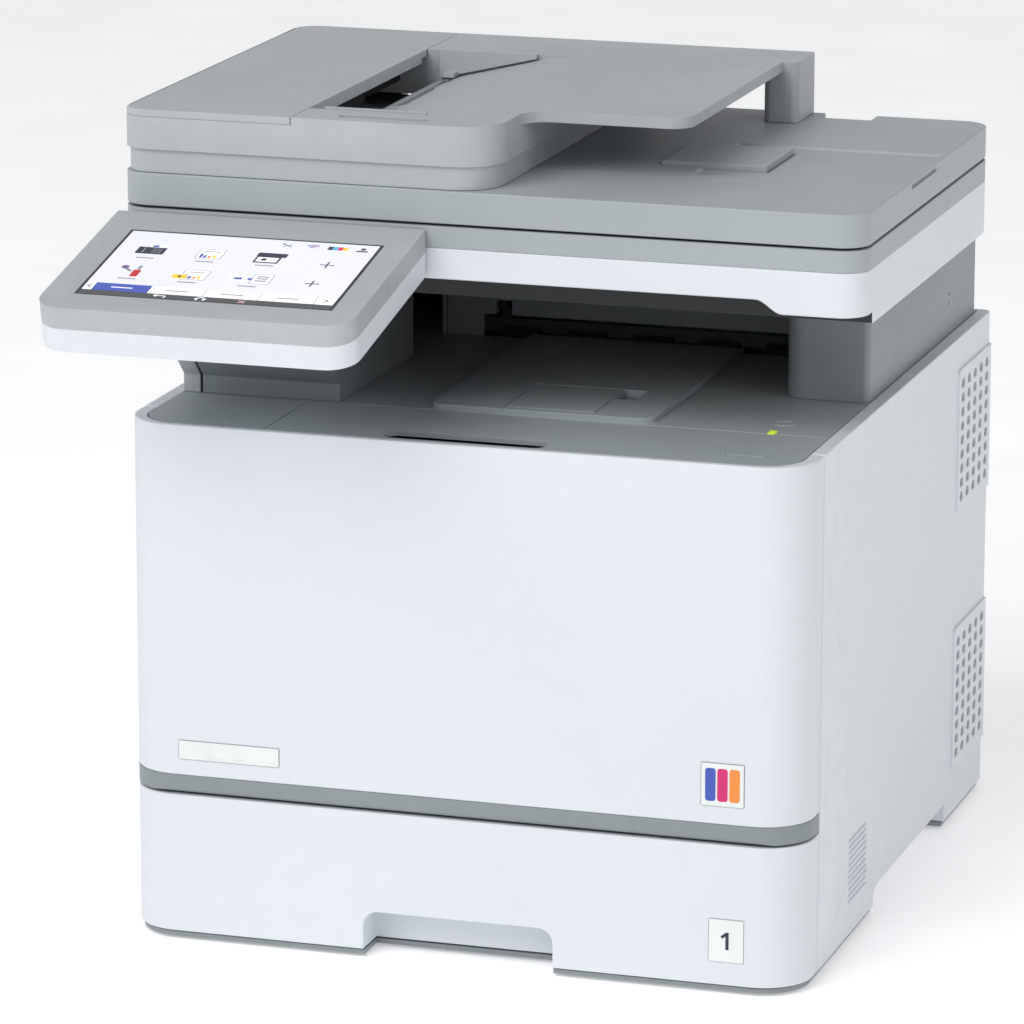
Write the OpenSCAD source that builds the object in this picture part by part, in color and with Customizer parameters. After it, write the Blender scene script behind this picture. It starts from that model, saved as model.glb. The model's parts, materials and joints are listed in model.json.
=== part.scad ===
// Desktop multifunction copier: a cabinet with one paper drawer, an output deck
// between two towers, and a flatbed scanner with a document feeder on top.
// Frame: +Z up, the front faces -Y, +X to the right; the origin is the centre
// of the cabinet's footprint on the surface that it stands on.

/* [Cabinet] */
// Width of the cabinet over its side covers
body_w = 410; // [390:1:492]
// Depth of the cabinet from front cover to rear panel
body_d = 458; // [440:1:550]
// Height of the side covers and of the output deck
deck_z = 311; // [300:1:373]
// Radius of the two front corners
corner_r = 30; // [24:1:34]
// Wall thickness of the moulded covers
wall = 3; // [2:0.5:3.5]
// Width of the rim beside the deck
side_rim = 8.5; // [7:0.5:10]
// Width of the rim in front of the deck
front_rim = 4.5; // [4:0.5:6]
// How far the front cover and drawer wrap round the corners
wing = 40; // [36:1:46]
// Gap at the seams between covers
seam = 1.4; // [1:0.1:2]

/* [Paper drawer] */
// Height of the drawer front's upper edge
drawer_top = 88.8; // [80:0.2:88.8]
// Half width of the hand hole
hand_hw = 57.5; // [45:0.5:65]
// Height of the hand hole's upper edge
hand_top = 28.5; // [24:0.5:34]
// Width of the paper that the drawer holds
paper_w = 210; // [182:1:216]
// Length of the paper that the drawer holds
paper_l = 297; // [257:1:297]

/* [Front cover] */
// Lower edge of the grey band
band_z0 = 90.2; // [90:0.1:91]
// Height of the grey band
band_h = 10.8; // [8:0.2:14]
// Radius of the hinge edge
hinge_r = 4; // [3:0.5:5]

/* [Scanner] */
// Width of the scanner and of the document feeder
scan_w = 446; // [440:1:535]
// Front plane of the scanner, in front of the origin
scan_front = 178; // [170:1:186]
// Rear plane of the scanner, behind the origin
scan_rear = 138; // [130:1:146]
// Height of the space between deck and scanner
gap_h = 70; // [64:1:84]
// Corner radius of the scanner
scan_r = 17; // [12:1:22]
// Height of the white scanner base
base_h = 32.6; // [30:0.2:38]
// Height of the grey scanner frame
trim_h = 12.7; // [11:0.1:16]

/* [Document feeder] */
// Height of the platen cover
cover_h = 19.2; // [17:0.2:24]
// Height of the feeder's lower layer
feed_low_h = 14; // [12:0.5:18]
// Height of the feeder's upper layer
feed_up_h = 23.5; // [22:0.5:28]
// Right side of the feeder's block
feed_x1 = 5; // [0:1:12]
// Right side of the input tray
tray_x1 = 102; // [90:1:115]
// Thickness of the feeder's lid
lid_t = 4.4; // [4:0.1:5]

/* [Control panel] */
// Width of the control panel
panel_w = 188; // [186:1:200]
// Length of the control panel from hinge edge to front
panel_l = 141; // [132:1:150]
// Tilt of the panel at rest
panel_tilt = 12; // [8:0.5:14]
// Thickness of the panel
panel_t = 27; // [25:0.5:29]
// Width of the display glass
glass_w = 154; // [150:0.5:156]
// Depth of the display glass
glass_d = 94; // [88:0.5:98]

/* [Rollers] */
// Radius of the pickup roller
pickup_r = 9; // [8:0.5:10]
// Radius of the two fuser rollers
fuser_r = 14; // [12:0.5:15]
// Radius of the exit roller
exit_r = 6; // [5:0.5:6.5]
// Radius of the roller shafts
shaft_r = 3; // [2.5:0.25:3.5]
// Running clearance of a shaft in its bore
run = 0.05; // [0.03:0.01:0.08]
// Gap of a seated piece
seat = 0.3; // [0.2:0.05:0.5]

/* [Hidden] */
$fn = 48;

cool_white = [0.88, 0.90, 0.92];
feeder_grey = [0.66, 0.68, 0.69];
deck_grey = [0.52, 0.54, 0.55];
steel_grey = [0.62, 0.63, 0.65];
near_black = [0.08, 0.08, 0.09];

// Planes of the cabinet
hx = body_w / 2;
fy = -body_d / 2;
ry = body_d / 2;
rear_r = 6;
foot_h = 1.5;
pan_t = 3;
pan_z = foot_h + pan_t;
lip = 2;
cover_z0 = 5;
wing_y = fy + wing;
side_y0 = wing_y + seam;
flange_t = 3;
deck_t = 4;
deck_x = hx - side_rim - 0.5;
deck_y0 = fy + front_rim + 0.5;
deck_r = corner_r - side_rim + 2;

// Engine: two steel side plates carry what is between them
plate_t = 2;
eng_x = hx - 29;
eng_y0 = fy + 46;
eng_y1 = ry - 15;
bed_z = drawer_top + 2.2;
bed_t = 1.5;
eng_top = deck_z - 8;

// Drawer
tray_x = eng_x - 16;
tray_y0 = wing_y + 1;
tray_y1 = tray_y0 + paper_l + 20;
tray_top = 62;
tray_wall = 2.5;
paper_y0 = tray_y0 + 8;
lift_z = pan_z + seat + tray_wall + 1.5;
lift_t = 1.5;
lift_l = 145;
guide_t = 3;
guide_y0 = paper_y0 + 120;
guide_l = 100;
guide_travel = 30;

// Front cover hinge
hinge_y = fy + hinge_r;
hinge_z = band_z0 + hinge_r;
band_z1 = band_z0 + band_h;
cover_wall = 4;

// Towers and scanner
scan_z = deck_z + gap_h;
sy0 = -scan_front;
sy1 = scan_rear;
shx = scan_w / 2;
tower_in_x = 99;
tower_out_x = hx - 20.5;
tower_y0 = -146;
back_y = 56;
riser_y1 = ry - 12;
post_x = 145;
post_y0 = -54;
slot_top = deck_z + 14;
slot_x0 = -75;
slot_x1 = 120;
trim_z = scan_z + base_h;
glass_top = trim_z + trim_h;
front_lip = 14.5;
corner_lip = 6.7;
lip_d = 25;
step_x = 168;
step_w = 16;

// Platen cover and document feeder
cover_z = glass_top + 1.5;
out_z = cover_z + cover_h;
feed_z0 = out_z + seat;
feed_z1 = out_z + feed_low_h;
feed_z2 = feed_z1 + feed_up_h;
pin_y = sy1 - 2;
pin_z = cover_z + 4.2;
hinge_x = 135;
hinge_hw = 14;
lid_x1 = -117.5;
lid_z = feed_z2 - lid_t;
mouth_x = -113;
chan_x1 = -35;
chan_y0 = -145;
chan_y1 = 74;
chan_z = feed_z2 - 20;
tray_front = -112;
tray_edge_t = 6.5;
fin_t = 4;

// Control panel, drawn flat with its top face at z = 0 and its rear edge at y = 0
panel_x1 = -35;
panel_x0 = panel_x1 - panel_w;
panel_y = sy0 - seam;
panel_z = glass_top - 2;
bezel_t = 13;
tilt_y = 13;
tilt_z = -19.5;
tilt_x = -130;
tilt_hw = 22;
tilt_max_r = tilt_y * cos(panel_tilt) + tilt_z * sin(panel_tilt) - 0.01;
pivot_y = panel_y - tilt_y * cos(panel_tilt) - tilt_z * sin(panel_tilt);
pivot_z = panel_z - tilt_y * sin(panel_tilt) + tilt_z * cos(panel_tilt);
glass_cx = (panel_x0 + panel_x1) / 2 + 1;
glass_y1 = -26;
glass_t = 2;

// Rollers along the paper path
pickup_y = fy + 79;
pickup_z = 78;
fuser_z = 170;
heat_y = ry - 105;
press_y = heat_y + 2 * fuser_r + 0.6;
exit_y = back_y + 12;
exit_z = deck_z - 1.5;

// Rear door
door_hw = 139;
door_z0 = 73;
door_z1 = deck_z - 27;
door_pin_y = ry - 6;
door_pin_z = door_z0 + 4;
door_pin_x = 105;

// Fan
fan_y = ry - 54;
fan_z = deck_z - 66;
fan_r = 33;
fan_hw = 36;
fan_x0 = eng_x + plate_t + seat;
fan_d = 18;

// --- shared shapes -------------------------------------------------------

module slab(x0, x1, y0, y1, z0, z1) {
    translate([x0, y0, z0]) cube([x1 - x0, y1 - y0, z1 - z0]);
}

// Rectangle with round corners: front left, front right, rear right, rear left
module rounded(x0, x1, y0, y1, rfl, rfr, rrr, rrl) {
    top = max(rrr, rrl);
    low = max(rfl, rfr);
    translate([x0, y0 + low]) square([x1 - x0, y1 - y0 - low - top]);
    translate([x0 + rfl, y0]) square([x1 - x0 - rfl - rfr, low + 1]);
    translate([x0 + rrl, y1 - top - 1]) square([x1 - x0 - rrl - rrr, top + 1]);
    if (rfl < low) translate([x0, y0 + rfl]) square([low, low - rfl + 1]);
    if (rfr < low) translate([x1 - low, y0 + rfr]) square([low, low - rfr + 1]);
    if (rfl > 0) translate([x0 + rfl, y0 + rfl]) circle(rfl);
    if (rfr > 0) translate([x1 - rfr, y0 + rfr]) circle(rfr);
    if (rrr > 0) translate([x1 - rrr, y1 - rrr]) circle(rrr);
    if (rrl > 0) translate([x0 + rrl, y1 - rrl]) circle(rrl);
}

module footprint(inset) {
    rounded(-hx + inset, hx - inset, fy + inset, ry - inset,
        corner_r - inset, corner_r - inset, max(rear_r - inset, 0.5), max(rear_r - inset, 0.5));
}

module rod_x(x0, x1, y, z, r) {
    translate([x0, y, z]) rotate([0, 90, 0]) cylinder(h = x1 - x0, r = r);
}

module rod_y(x, y0, y1, z, r) {
    translate([x, y0, z]) rotate([-90, 0, 0]) cylinder(h = y1 - y0, r = r);
}

// Profile in the YZ plane, extruded along +X from x0 to x1
module along_x(x0, x1) {
    translate([x0, 0, 0]) rotate([90, 0, 90]) linear_extrude(x1 - x0) children();
}

// Profile in the XZ plane, extruded along +Y from y0 to y1
module along_y(y0, y1) {
    translate([0, y1, 0]) rotate([90, 0, 0]) linear_extrude(y1 - y0) children();
}

module both_sides() {
    children();
    mirror([1, 0, 0]) children();
}

// --- cabinet -------------------------------------------------------------

recess_y0 = -57;
recess_y1 = 125;
recess_h = 16;
recess_d = 26;
recess_r = 8;

module base_frame() {
    color(deck_grey) translate([0, 0, foot_h]) linear_extrude(pan_t) difference() {
        footprint(lip);
        for (s = [-1, 1])
            translate([s * (hx - recess_d / 2), (recess_y0 + recess_y1) / 2])
                square([recess_d, recess_y1 - recess_y0], center = true);
        translate([-hand_hw, fy]) square([2 * hand_hw, 25]);
    }
}

module feet() {
    foot_r = 11;
    inset = 34;
    color(near_black) {
        for (x = [-hx + inset, hx - inset], y = [fy + inset, ry - inset])
            translate([x, y, 0]) cylinder(h = foot_h, r = foot_r);
        cylinder(h = foot_h, r = foot_r + 3);
    }
}

vent_rows = 9;
vent_cols = 5;
vent_pitch_y = 16;
vent_pitch_z = 9;
vent_len = 9.5;
vent_h = 5.4;
vent_y = ry - 80;
vent_up_z = deck_z - 102;
vent_low_z = 44;

module oval(length, height) {
    translate([-(length - height) / 2, 0]) circle(d = height, $fn = 16);
    translate([(length - height) / 2, 0]) circle(d = height, $fn = 16);
    square([length - height, height], center = true);
}

module vent_holes(z0) {
    translate([hx - wall - 1, 0, 0]) rotate([90, 0, 90]) linear_extrude(wall + 4)
        for (i = [0 : vent_cols - 1], j = [0 : vent_rows - 1])
            translate([vent_y + i * vent_pitch_y, z0 + j * vent_pitch_z]) oval(vent_len, vent_h);
}

module vent_frame(z0) {
    frame = 10;
    along_x(hx - 0.5, hx + 1.5)
        rounded(vent_y - frame, ry - rear_r + 1, z0 - frame, z0 + (vent_rows - 1) * vent_pitch_z + frame,
            4, 1, 1, 4);
}

module louvres() {
    slots = 11;
    pitch = 3.7;
    translate([hx - 1.2, 0, 0]) rotate([90, 0, 90]) linear_extrude(3)
        for (i = [0 : slots - 1]) translate([-97, 26 + i * pitch]) oval(43, 1.6);
}

module side_cover(low_vent) {
    difference() {
        union() {
            translate([0, 0, cover_z0]) linear_extrude(deck_z - cover_z0) difference() {
                intersection() {
                    footprint(0);
                    translate([hx - 12, side_y0]) square([13, body_d]);
                }
                footprint(wall);
            }
            slab(hx - side_rim, hx - wall / 2, side_y0, ry - wall - seat, deck_z - flange_t, deck_z);
            slab(hx - side_rim - 6, hx - wall / 2, side_y0, ry - wall - seat, deck_z - 7.3, deck_z - 4.3);
            slab(hx - side_rim, hx - wall / 2, side_y0, ry - wall - seat, deck_z - 7, deck_z - 1);
            slab(hx - recess_d, hx - 1, recess_y0 - 2, recess_y1 + 2, cover_z0, recess_h + 2.5);
            vent_frame(vent_up_z);
            if (low_vent) vent_frame(vent_low_z);
        }
        slab(hx - recess_d + 2, hx + 1, recess_y0 + recess_r, recess_y1, cover_z0 - 1, recess_h);
        slab(hx - recess_d + 2, hx + 1, recess_y0, recess_y0 + recess_r + 1, cover_z0 - 1, recess_h - recess_r);
        rod_x(hx - recess_d + 2, hx + 1, recess_y0 + recess_r, recess_h - recess_r, recess_r);
        vent_holes(vent_up_z);
        if (low_vent) vent_holes(vent_low_z);
        louvres();
    }
}

module right_side_cover() { color(cool_white) side_cover(true); }
module left_side_cover() { color(cool_white) mirror([1, 0, 0]) side_cover(false); }

socket_x = -hx + 62;
socket_z = 32;
screw_spots = [for (x = [-1, 1], z = [14, 58, deck_z - 12]) [x * (hx - 22), z]];

module rear_panel() {
    edge = hx - 12 - 0.4;
    color(cool_white) difference() {
        union() {
            slab(-edge, edge, ry - wall, ry, cover_z0, deck_z);
            slab(-door_hw, door_hw, ry - wall - 2, ry - wall + 0.5, door_z1 - 5, door_z1 + 5);
            for (s = [-1, 1]) {
                slab(s * door_pin_x - 12 + (s > 0 ? 17 : 3), s * door_pin_x + 12 - (s > 0 ? 3 : 17),
                    door_pin_y - 5, ry - wall / 2, 58, door_pin_z + 5);
                rod_x(s * door_pin_x - 6, s * door_pin_x + 6, door_pin_y, door_pin_z, shaft_r);
            }
        }
        slab(-door_hw - 1, door_hw + 1, ry - wall - 0.2, ry + 1, door_z0 - 4, door_z1 + 1);
        slab(-door_hw - 1, door_hw + 1, ry - wall - 0.4, ry + 1, door_z1 - 6, door_z1 + 1);
        slab(socket_x - 15, socket_x + 15, ry - 10, ry + 1, socket_z - 11, socket_z + 11);
        for (p = screw_spots) rod_y(p[0], ry - 10, ry + 1, p[1], 1.5 + run);
    }
}

module screws() {
    color(steel_grey) for (p = screw_spots) difference() {
        union() {
            rod_y(p[0], ry - 6, ry + 0.5, p[1], 1.5);
            rod_y(p[0], ry, ry + 1.6, p[1], 3);
        }
        slab(p[0] - 2, p[0] + 2, ry + 0.9, ry + 2, p[1] - 0.3, p[1] + 0.3);
        slab(p[0] - 0.3, p[0] + 0.3, ry + 0.9, ry + 2, p[1] - 2, p[1] + 2);
    }
}

module rear_door() {
    color(cool_white) difference() {
        union() {
            slab(-door_hw, door_hw, ry - wall, ry, door_z0, door_z1);
            difference() {
                slab(-door_hw + 14, door_hw - 14, ry - 20, ry - 1, door_z0 + 24, door_z1 - 20);
                slab(-door_hw + 17, door_hw - 17, ry - 17, ry - wall, door_z0 + 27, door_z1 - 23);
            }
            for (x = [-door_pin_x, door_pin_x]) {
                rod_x(x - 5, x + 5, door_pin_y, door_pin_z, 4.5);
                slab(x - 5, x + 5, door_pin_y, ry - 1, door_pin_z - 4, door_pin_z + 10);
            }
        }
        for (x = [-door_pin_x, door_pin_x]) {
            rod_x(x - 8, x + 8, door_pin_y, door_pin_z, shaft_r + run);
        }
        both_sides() slab(door_pin_x + 4.4, door_pin_x + 9.6, ry - wall - 1, ry + 1, door_z0 - 1, door_pin_z + 4.5);
        slab(-22, 22, ry - 1.6, ry + 1, door_z1 - 14, door_z1 + 1);
    }
}

module rear_sockets() {
    pin_gap = 7;
    color(near_black) {
        difference() {
            slab(socket_x - 14.6, socket_x + 14.6, ry - 22, ry + 0.4, socket_z - 10.6, socket_z + 10.6);
            slab(socket_x - 12, socket_x + 12, ry - 16, ry + 1, socket_z - 8, socket_z + 8);
        }
        for (i = [-1, 0, 1])
            slab(socket_x + i * pin_gap - 1, socket_x + i * pin_gap + 1, ry - 16, ry - 4,
                socket_z - 2 + abs(i) * 2, socket_z + 2 + abs(i) * 2);
    }
}

module engine_frame() {
    beam = 12;
    color(steel_grey) difference() {
        union() {
            both_sides() slab(eng_x, eng_x + plate_t, eng_y0, eng_y1, pan_z, eng_top);
            slab(-eng_x - 0.5, eng_x + 0.5, eng_y0 + 40, eng_y1 - 50, bed_z, bed_z + bed_t);
            slab(-eng_x - 0.5, eng_x + 0.5, eng_y0, eng_y0 + beam, eng_top - beam, eng_top);
            slab(-eng_x - 0.5, eng_x + 0.5, eng_y1 - beam, eng_y1, eng_top - beam, eng_top);
        }
        rod_x(-hx, hx, pickup_y, pickup_z, shaft_r + run);
        rod_x(0, hx, fan_y, fan_z, fan_r);
        rod_x(-hx, 0, 40, 60, 14);
        rod_x(-hx, hx, -60, 60, 12);
    }
}

grip_hw = 48;
grip_d = 14;
grip_y1 = deck_y0 + 20;
tray_hi = 3.3;
stop_x0 = 0;
stop_x1 = 54;
stop_y0 = -137;
stop_y1 = -76;
stop_z = deck_z + 1.2;
crease_y = -146;
power_x1 = -118;
button_x = 162.5;
button_y = -199;
power_x = -154;
power_y = -197;
light_x = 162;
light_y = -143;

module deck_outline() {
    rounded(-deck_x, deck_x, deck_y0, ry - 4, deck_r, deck_r, 2, 2);
}

module top_deck() {
    color(deck_grey) difference() {
        union() {
            translate([0, 0, deck_z - deck_t]) linear_extrude(deck_t) difference() {
                deck_outline();
                translate([-hx, deck_y0 - 5]) square([hx + power_x1, crease_y - deck_y0 - 1.6]);
                translate([-tower_in_x + 2, back_y + 2]) square([post_x + tower_in_x - 4, riser_y1 - back_y - 2]);
            }
            slab(-grip_hw - 2.5, grip_hw + 2.5, deck_y0 + 1, grip_y1 + 2.5, deck_z - grip_d - 2, deck_z - 1);
            translate([0, 0, deck_z - 1]) linear_extrude(tray_hi + 1)
                rounded(-44, 91, -145, back_y + 1.5, 8, 8, 0.5, 0.5);
            translate([163, -119, deck_z - 1]) cylinder(h = 1.4, r = 6.5);
        }
        translate([0, 0, deck_z - grip_d]) linear_extrude(20)
            rounded(-grip_hw, grip_hw, deck_y0 + 2.5, grip_y1, 6, 6, 6, 6);
        slab(stop_x0 - 0.5, stop_x1 + 0.5, stop_y0 - 2.8, stop_y1 + 0.8, stop_z - 2.6, deck_z + 9);
        slab(stop_x1, stop_x1 + 14, stop_y1 - 24, stop_y1 + 0.8, deck_z - 1, deck_z + 9);
        rod_x(stop_x0 - 3, stop_x1 + 3, stop_y0, stop_z, 1.5 + run);
        slab(power_x1, hx, crease_y - 0.9, crease_y, deck_z - 0.6, deck_z + 0.5);
        translate([163, -119, deck_z + 0.1]) cylinder(h = 2, r = 5.7);
        translate([button_x, button_y, deck_z - 9]) linear_extrude(20) oval(25.6, 9.6);
        translate([light_x, light_y, deck_z - 9]) linear_extrude(20) square([4.6, 8.6], center = true);
    }
}

module power_panel() {
    color(deck_grey) difference() {
        translate([0, 0, deck_z - deck_t]) linear_extrude(deck_t) intersection() {
            deck_outline();
            translate([-hx, deck_y0 - 5]) square([hx + power_x1 - 0.7, crease_y - deck_y0 - 2.3]);
        }
        translate([power_x, power_y, deck_z - 9]) cylinder(h = 20, r = 8);
    }
}

module power_button() {
    color(deck_grey) difference() {
        translate([power_x, power_y, deck_z - 8]) cylinder(h = 8.2, r = 7.7);
        translate([power_x, power_y, deck_z]) difference() {
            cylinder(h = 1, r = 3.4);
            translate([0, 0, -1]) cylinder(h = 3, r = 2.7);
        }
    }
}

module cover_release_button() {
    color(deck_grey) difference() {
        translate([button_x, button_y, deck_z - 8]) linear_extrude(8.3) oval(25, 9);
        for (s = [-1, 1]) translate([button_x + s * 5, button_y, deck_z]) cylinder(h = 1, r = 0.7);
    }
}

module status_light() {
    color("yellowgreen") slab(light_x - 2, light_x + 2, light_y - 4, light_y + 4, deck_z - 3, deck_z + 0.3);
}

module paper_stop() {
    color(deck_grey) union() {
        slab(stop_x0, stop_x1, stop_y0, stop_y1, stop_z - 2, stop_z + 2.1);
        rod_x(stop_x0, stop_x1, stop_y0, stop_z, 2.1);
        rod_x(stop_x0 - 2.5, stop_x1 + 2.5, stop_y0, stop_z, 1.5);
    }
}

// --- towers --------------------------------------------------------------

neck_y = sy0 - 8;
neck_top = scan_z + front_lip - 6;

// Side view of the left tower: its neck flares forward under the control panel
module tower_side(t) {
    polygon([[tower_y0 + t, deck_z], [tower_y0 + t, deck_z + 11], [sy0 + 5 + t, deck_z + 37],
        [neck_y + t, deck_z + 62], [neck_y + t, neck_top - t], [sy0 + lip_d - 3 - t, neck_top - t],
        [sy0 + lip_d - 3 - t, scan_z - seat - t], [riser_y1 - t, scan_z - seat - t], [riser_y1 - t, deck_z]]);
}

module left_tower() {
    color(deck_grey) difference() {
        intersection() {
            along_x(-tower_out_x, -tower_in_x) tower_side(0);
            translate([0, 0, deck_z]) linear_extrude(gap_h + 30)
                rounded(-tower_out_x, -tower_in_x, neck_y - 1, riser_y1, 0, 16, 0, 0);
        }
        intersection() {
            translate([0, 0, -0.01]) along_x(-tower_out_x + wall, -tower_in_x - wall) tower_side(wall);
            translate([0, 0, deck_z - 1]) linear_extrude(gap_h + 30)
                rounded(-tower_out_x + wall, -tower_in_x - wall, neck_y + wall, riser_y1 - wall, 0, 13, 0, 0);
        }
        slab(-tower_in_x - 26, -tower_in_x + 1, -9, back_y - 0.5, deck_z - 1, scan_z - 8);
    }
    color(deck_grey) slab(-tower_in_x - 29, -tower_in_x - 26, -12, back_y, deck_z, scan_z - 4);
    color(deck_grey) difference() {
        union() {
            rod_x(tilt_x - 12, tilt_x + 12, pivot_y, pivot_z, 5.5);
            slab(tilt_x - 12, tilt_x + 12, pivot_y - 2, pivot_y + 5, neck_top - 1, pivot_z);
        }
        rod_x(tilt_x - 13, tilt_x + 13, pivot_y, pivot_z, shaft_r + run);
    }
}

module left_tower_cover() {
    outer = hx - side_rim;
    color(feeder_grey) difference() {
        along_x(-outer, -tower_out_x - seam) tower_side(0);
        along_x(-outer + wall, -tower_out_x) translate([0, -0.01]) tower_side(wall);
    }
}

module right_tower() {
    outer = hx - side_rim;
    color(deck_grey) difference() {
        translate([0, 0, deck_z]) linear_extrude(gap_h - seat)
            rounded(post_x, outer, post_y0, riser_y1, 12, 4, 1, 1);
        translate([0, 0, deck_z - 1]) linear_extrude(gap_h - seat - wall + 1)
            rounded(post_x + wall, outer - wall, post_y0 + wall, riser_y1 - wall, 9, 1, 0.5, 0.5);
        for (z = [20, 26]) rod_x(outer - 1.5, outer + 1, ry - 82, deck_z + z, 1);
    }
}

flag_x = -62;

module rear_riser() {
    x0 = -tower_in_x + 0.4;
    x1 = post_x - 0.4;
    color(deck_grey) difference() {
        union() {
            difference() {
                slab(x0, x1, back_y, riser_y1 - 0.5, deck_z, scan_z - seat);
                slab(x0 + wall, x1 - wall, back_y + wall, riser_y1 - wall, deck_z - 1, scan_z - seat - wall);
            }
            for (x = [x0 + 2, x1 - 8]) slab(x, x + 6, exit_y - 8, exit_y + 8, exit_z - 7, deck_z + 30);
            for (x = [flag_x - 9, flag_x + 6]) slab(x, x + 3, back_y + 1, back_y + 12, slot_top, slot_top + 9);
        }
        slab(slot_x0, slot_x1, back_y - 1, back_y + wall + 1, deck_z - 1, slot_top);
        rod_x(x0 - 1, x1 + 1, exit_y, exit_z, shaft_r + run);
        rod_x(flag_x - 12, flag_x + 12, back_y + 8, slot_top + 5, 1 + run);
        slab(flag_x - 5, flag_x + 5, back_y - 1, back_y + 5, slot_top - 1, slot_top + 9);
    }
}

module exit_flag() {
    color(near_black) union() {
        rod_x(flag_x - 8.5, flag_x + 8.5, back_y + 8, slot_top + 5, 1);
        rod_x(flag_x - 4, flag_x + 4, back_y + 8, slot_top + 5, 2.6);
        slab(flag_x - 3, flag_x + 3, back_y + 7, back_y + 9, deck_z + 8.5, slot_top + 5);
    }
}

module exit_roller() {
    x0 = -tower_in_x + 2.6;
    x1 = post_x - 2.6;
    tyre = 24;
    color(near_black) union() {
        rod_x(x0 - 0.2, x1 + 0.2, exit_y, exit_z, shaft_r);
        for (x = [-66 : 42 : 102]) rod_x(x, x + tyre, exit_y, exit_z, exit_r);
    }
}

// --- scanner -------------------------------------------------------------

module scan_plan(inset) {
    r = scan_r - inset;
    rounded(-shx + inset, shx - inset, sy0 + inset, sy1 - inset, r, r, r, r);
}

// Lower edge of the scanner's front: high under the panel, with a soft step down at the right
module front_edge_cut() {
    steps = 8;
    polygon(concat([[-shx - 1, scan_z - 1], [-shx - 1, scan_z + front_lip]],
        [for (i = [0 : steps]) [step_x - step_w / 2 + step_w * i / steps, scan_z + corner_lip
            + (front_lip - corner_lip) * (0.5 + 0.5 * cos(180 * i / steps))]],
        [[shx + 1, scan_z + corner_lip], [shx + 1, scan_z - 1]]));
}

module scanner_base() {
    color(cool_white) difference() {
        translate([0, 0, scan_z]) linear_extrude(base_h) scan_plan(0);
        difference() {
            translate([0, 0, scan_z + wall]) linear_extrude(base_h) scan_plan(wall);
            slab(-shx, shx, sy0, sy0 + lip_d + wall, scan_z, scan_z + front_lip + wall);
        }
        along_y(sy0 - 1, sy0 + lip_d) front_edge_cut();
    }
}

bed_x0 = -160;
bed_x1 = 186;
strip_x0 = -184;
strip_x1 = -168;
bed_y0 = -118;
bed_y1 = 112;

module scanner_trim() {
    color(feeder_grey) difference() {
        translate([0, 0, trim_z]) linear_extrude(trim_h) scan_plan(0);
        translate([0, 0, trim_z - 1]) linear_extrude(trim_h - 3) scan_plan(wall);
        for (x = [[bed_x0, bed_x1], [strip_x0, strip_x1]]) {
            slab(x[0], x[1], bed_y0, bed_y1, glass_top - 3, glass_top + 1);
            slab(x[0] + 3, x[1] - 3, bed_y0 + 3, bed_y1 - 3, glass_top - 6, glass_top + 1);
        }
    }
}

module platen_glass() {
    color([0.6, 0.7, 0.7, 0.5]) for (x = [[bed_x0, bed_x1], [strip_x0, strip_x1]])
        slab(x[0] + seat, x[1] - seat, bed_y0 + seat, bed_y1 - seat, glass_top - 2.9, glass_top - 0.2);
}

rail_y = -10;
rail_z = scan_z + 17;

module scanner_steelwork() {
    color(steel_grey) {
        rod_x(-shx + wall + 0.2, shx - wall - 0.2, rail_y, rail_z, 4);
        both_sides() difference() {
            union() {
                slab(hinge_x - hinge_hw, hinge_x + hinge_hw, pin_y - 8, sy1 - 0.5, glass_top, pin_z);
                intersection() {
                    rod_x(hinge_x - hinge_hw, hinge_x + hinge_hw, pin_y, pin_z, 5);
                    slab(hinge_x - hinge_hw, hinge_x + hinge_hw, pin_y - 8, sy1 + 3, pin_z - 1, pin_z + 8);
                }
            }
            rod_x(hinge_x - hinge_hw - 1, hinge_x + hinge_hw + 1, pin_y, pin_z, shaft_r + run);
        }
    }
}

module scan_carriage() {
    x0 = strip_x0 - 10;
    color(near_black) difference() {
        slab(x0, x0 + 34, bed_y0 + 2, bed_y1 - 2, scan_z + 9, glass_top - 6.5);
        rod_x(x0 - 1, x0 + 40, rail_y, rail_z, 4 + run);
        slab(x0 + 15, x0 + 19, bed_y0 + 8, bed_y1 - 8, glass_top - 12, glass_top);
    }
}

// --- engine --------------------------------------------------------------

unit_y0 = eng_y0 + 42;
unit_y1 = heat_y - fuser_r - 10;
unit_pitch = (unit_y1 - unit_y0) / 4;
belt_z = 125;
belt_r = 12;
drum_r = 12;
drum_z = belt_z + belt_r + 0.6 + drum_r + seat;
toner_z1 = deck_z - 84;
laser_z0 = deck_z - 78;
laser_z1 = deck_z - 46;

module transfer_belt() {
    y0 = unit_y0 + 14;
    y1 = unit_y1 - 8;
    half = eng_x - 60;
    color(near_black) difference() {
        along_x(-half, half) {
            for (y = [y0, y1]) translate([y, belt_z]) circle(belt_r + 0.6);
            translate([y0, belt_z - belt_r - 0.6]) square([y1 - y0, 2 * belt_r + 1.2]);
        }
        along_x(-half - 1, half + 1) {
            for (y = [y0, y1]) translate([y, belt_z]) circle(belt_r);
            translate([y0, belt_z - belt_r]) square([y1 - y0, 2 * belt_r]);
        }
    }
    color(steel_grey) for (y = [y0, y1]) {
        rod_x(-half + 2, half - 2, y, belt_z, belt_r - seat);
        rod_x(-eng_x + 0.3, -half + 2, y, belt_z, shaft_r);
        rod_x(half - 2, eng_x - 0.3, y, belt_z, shaft_r);
    }
}

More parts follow.
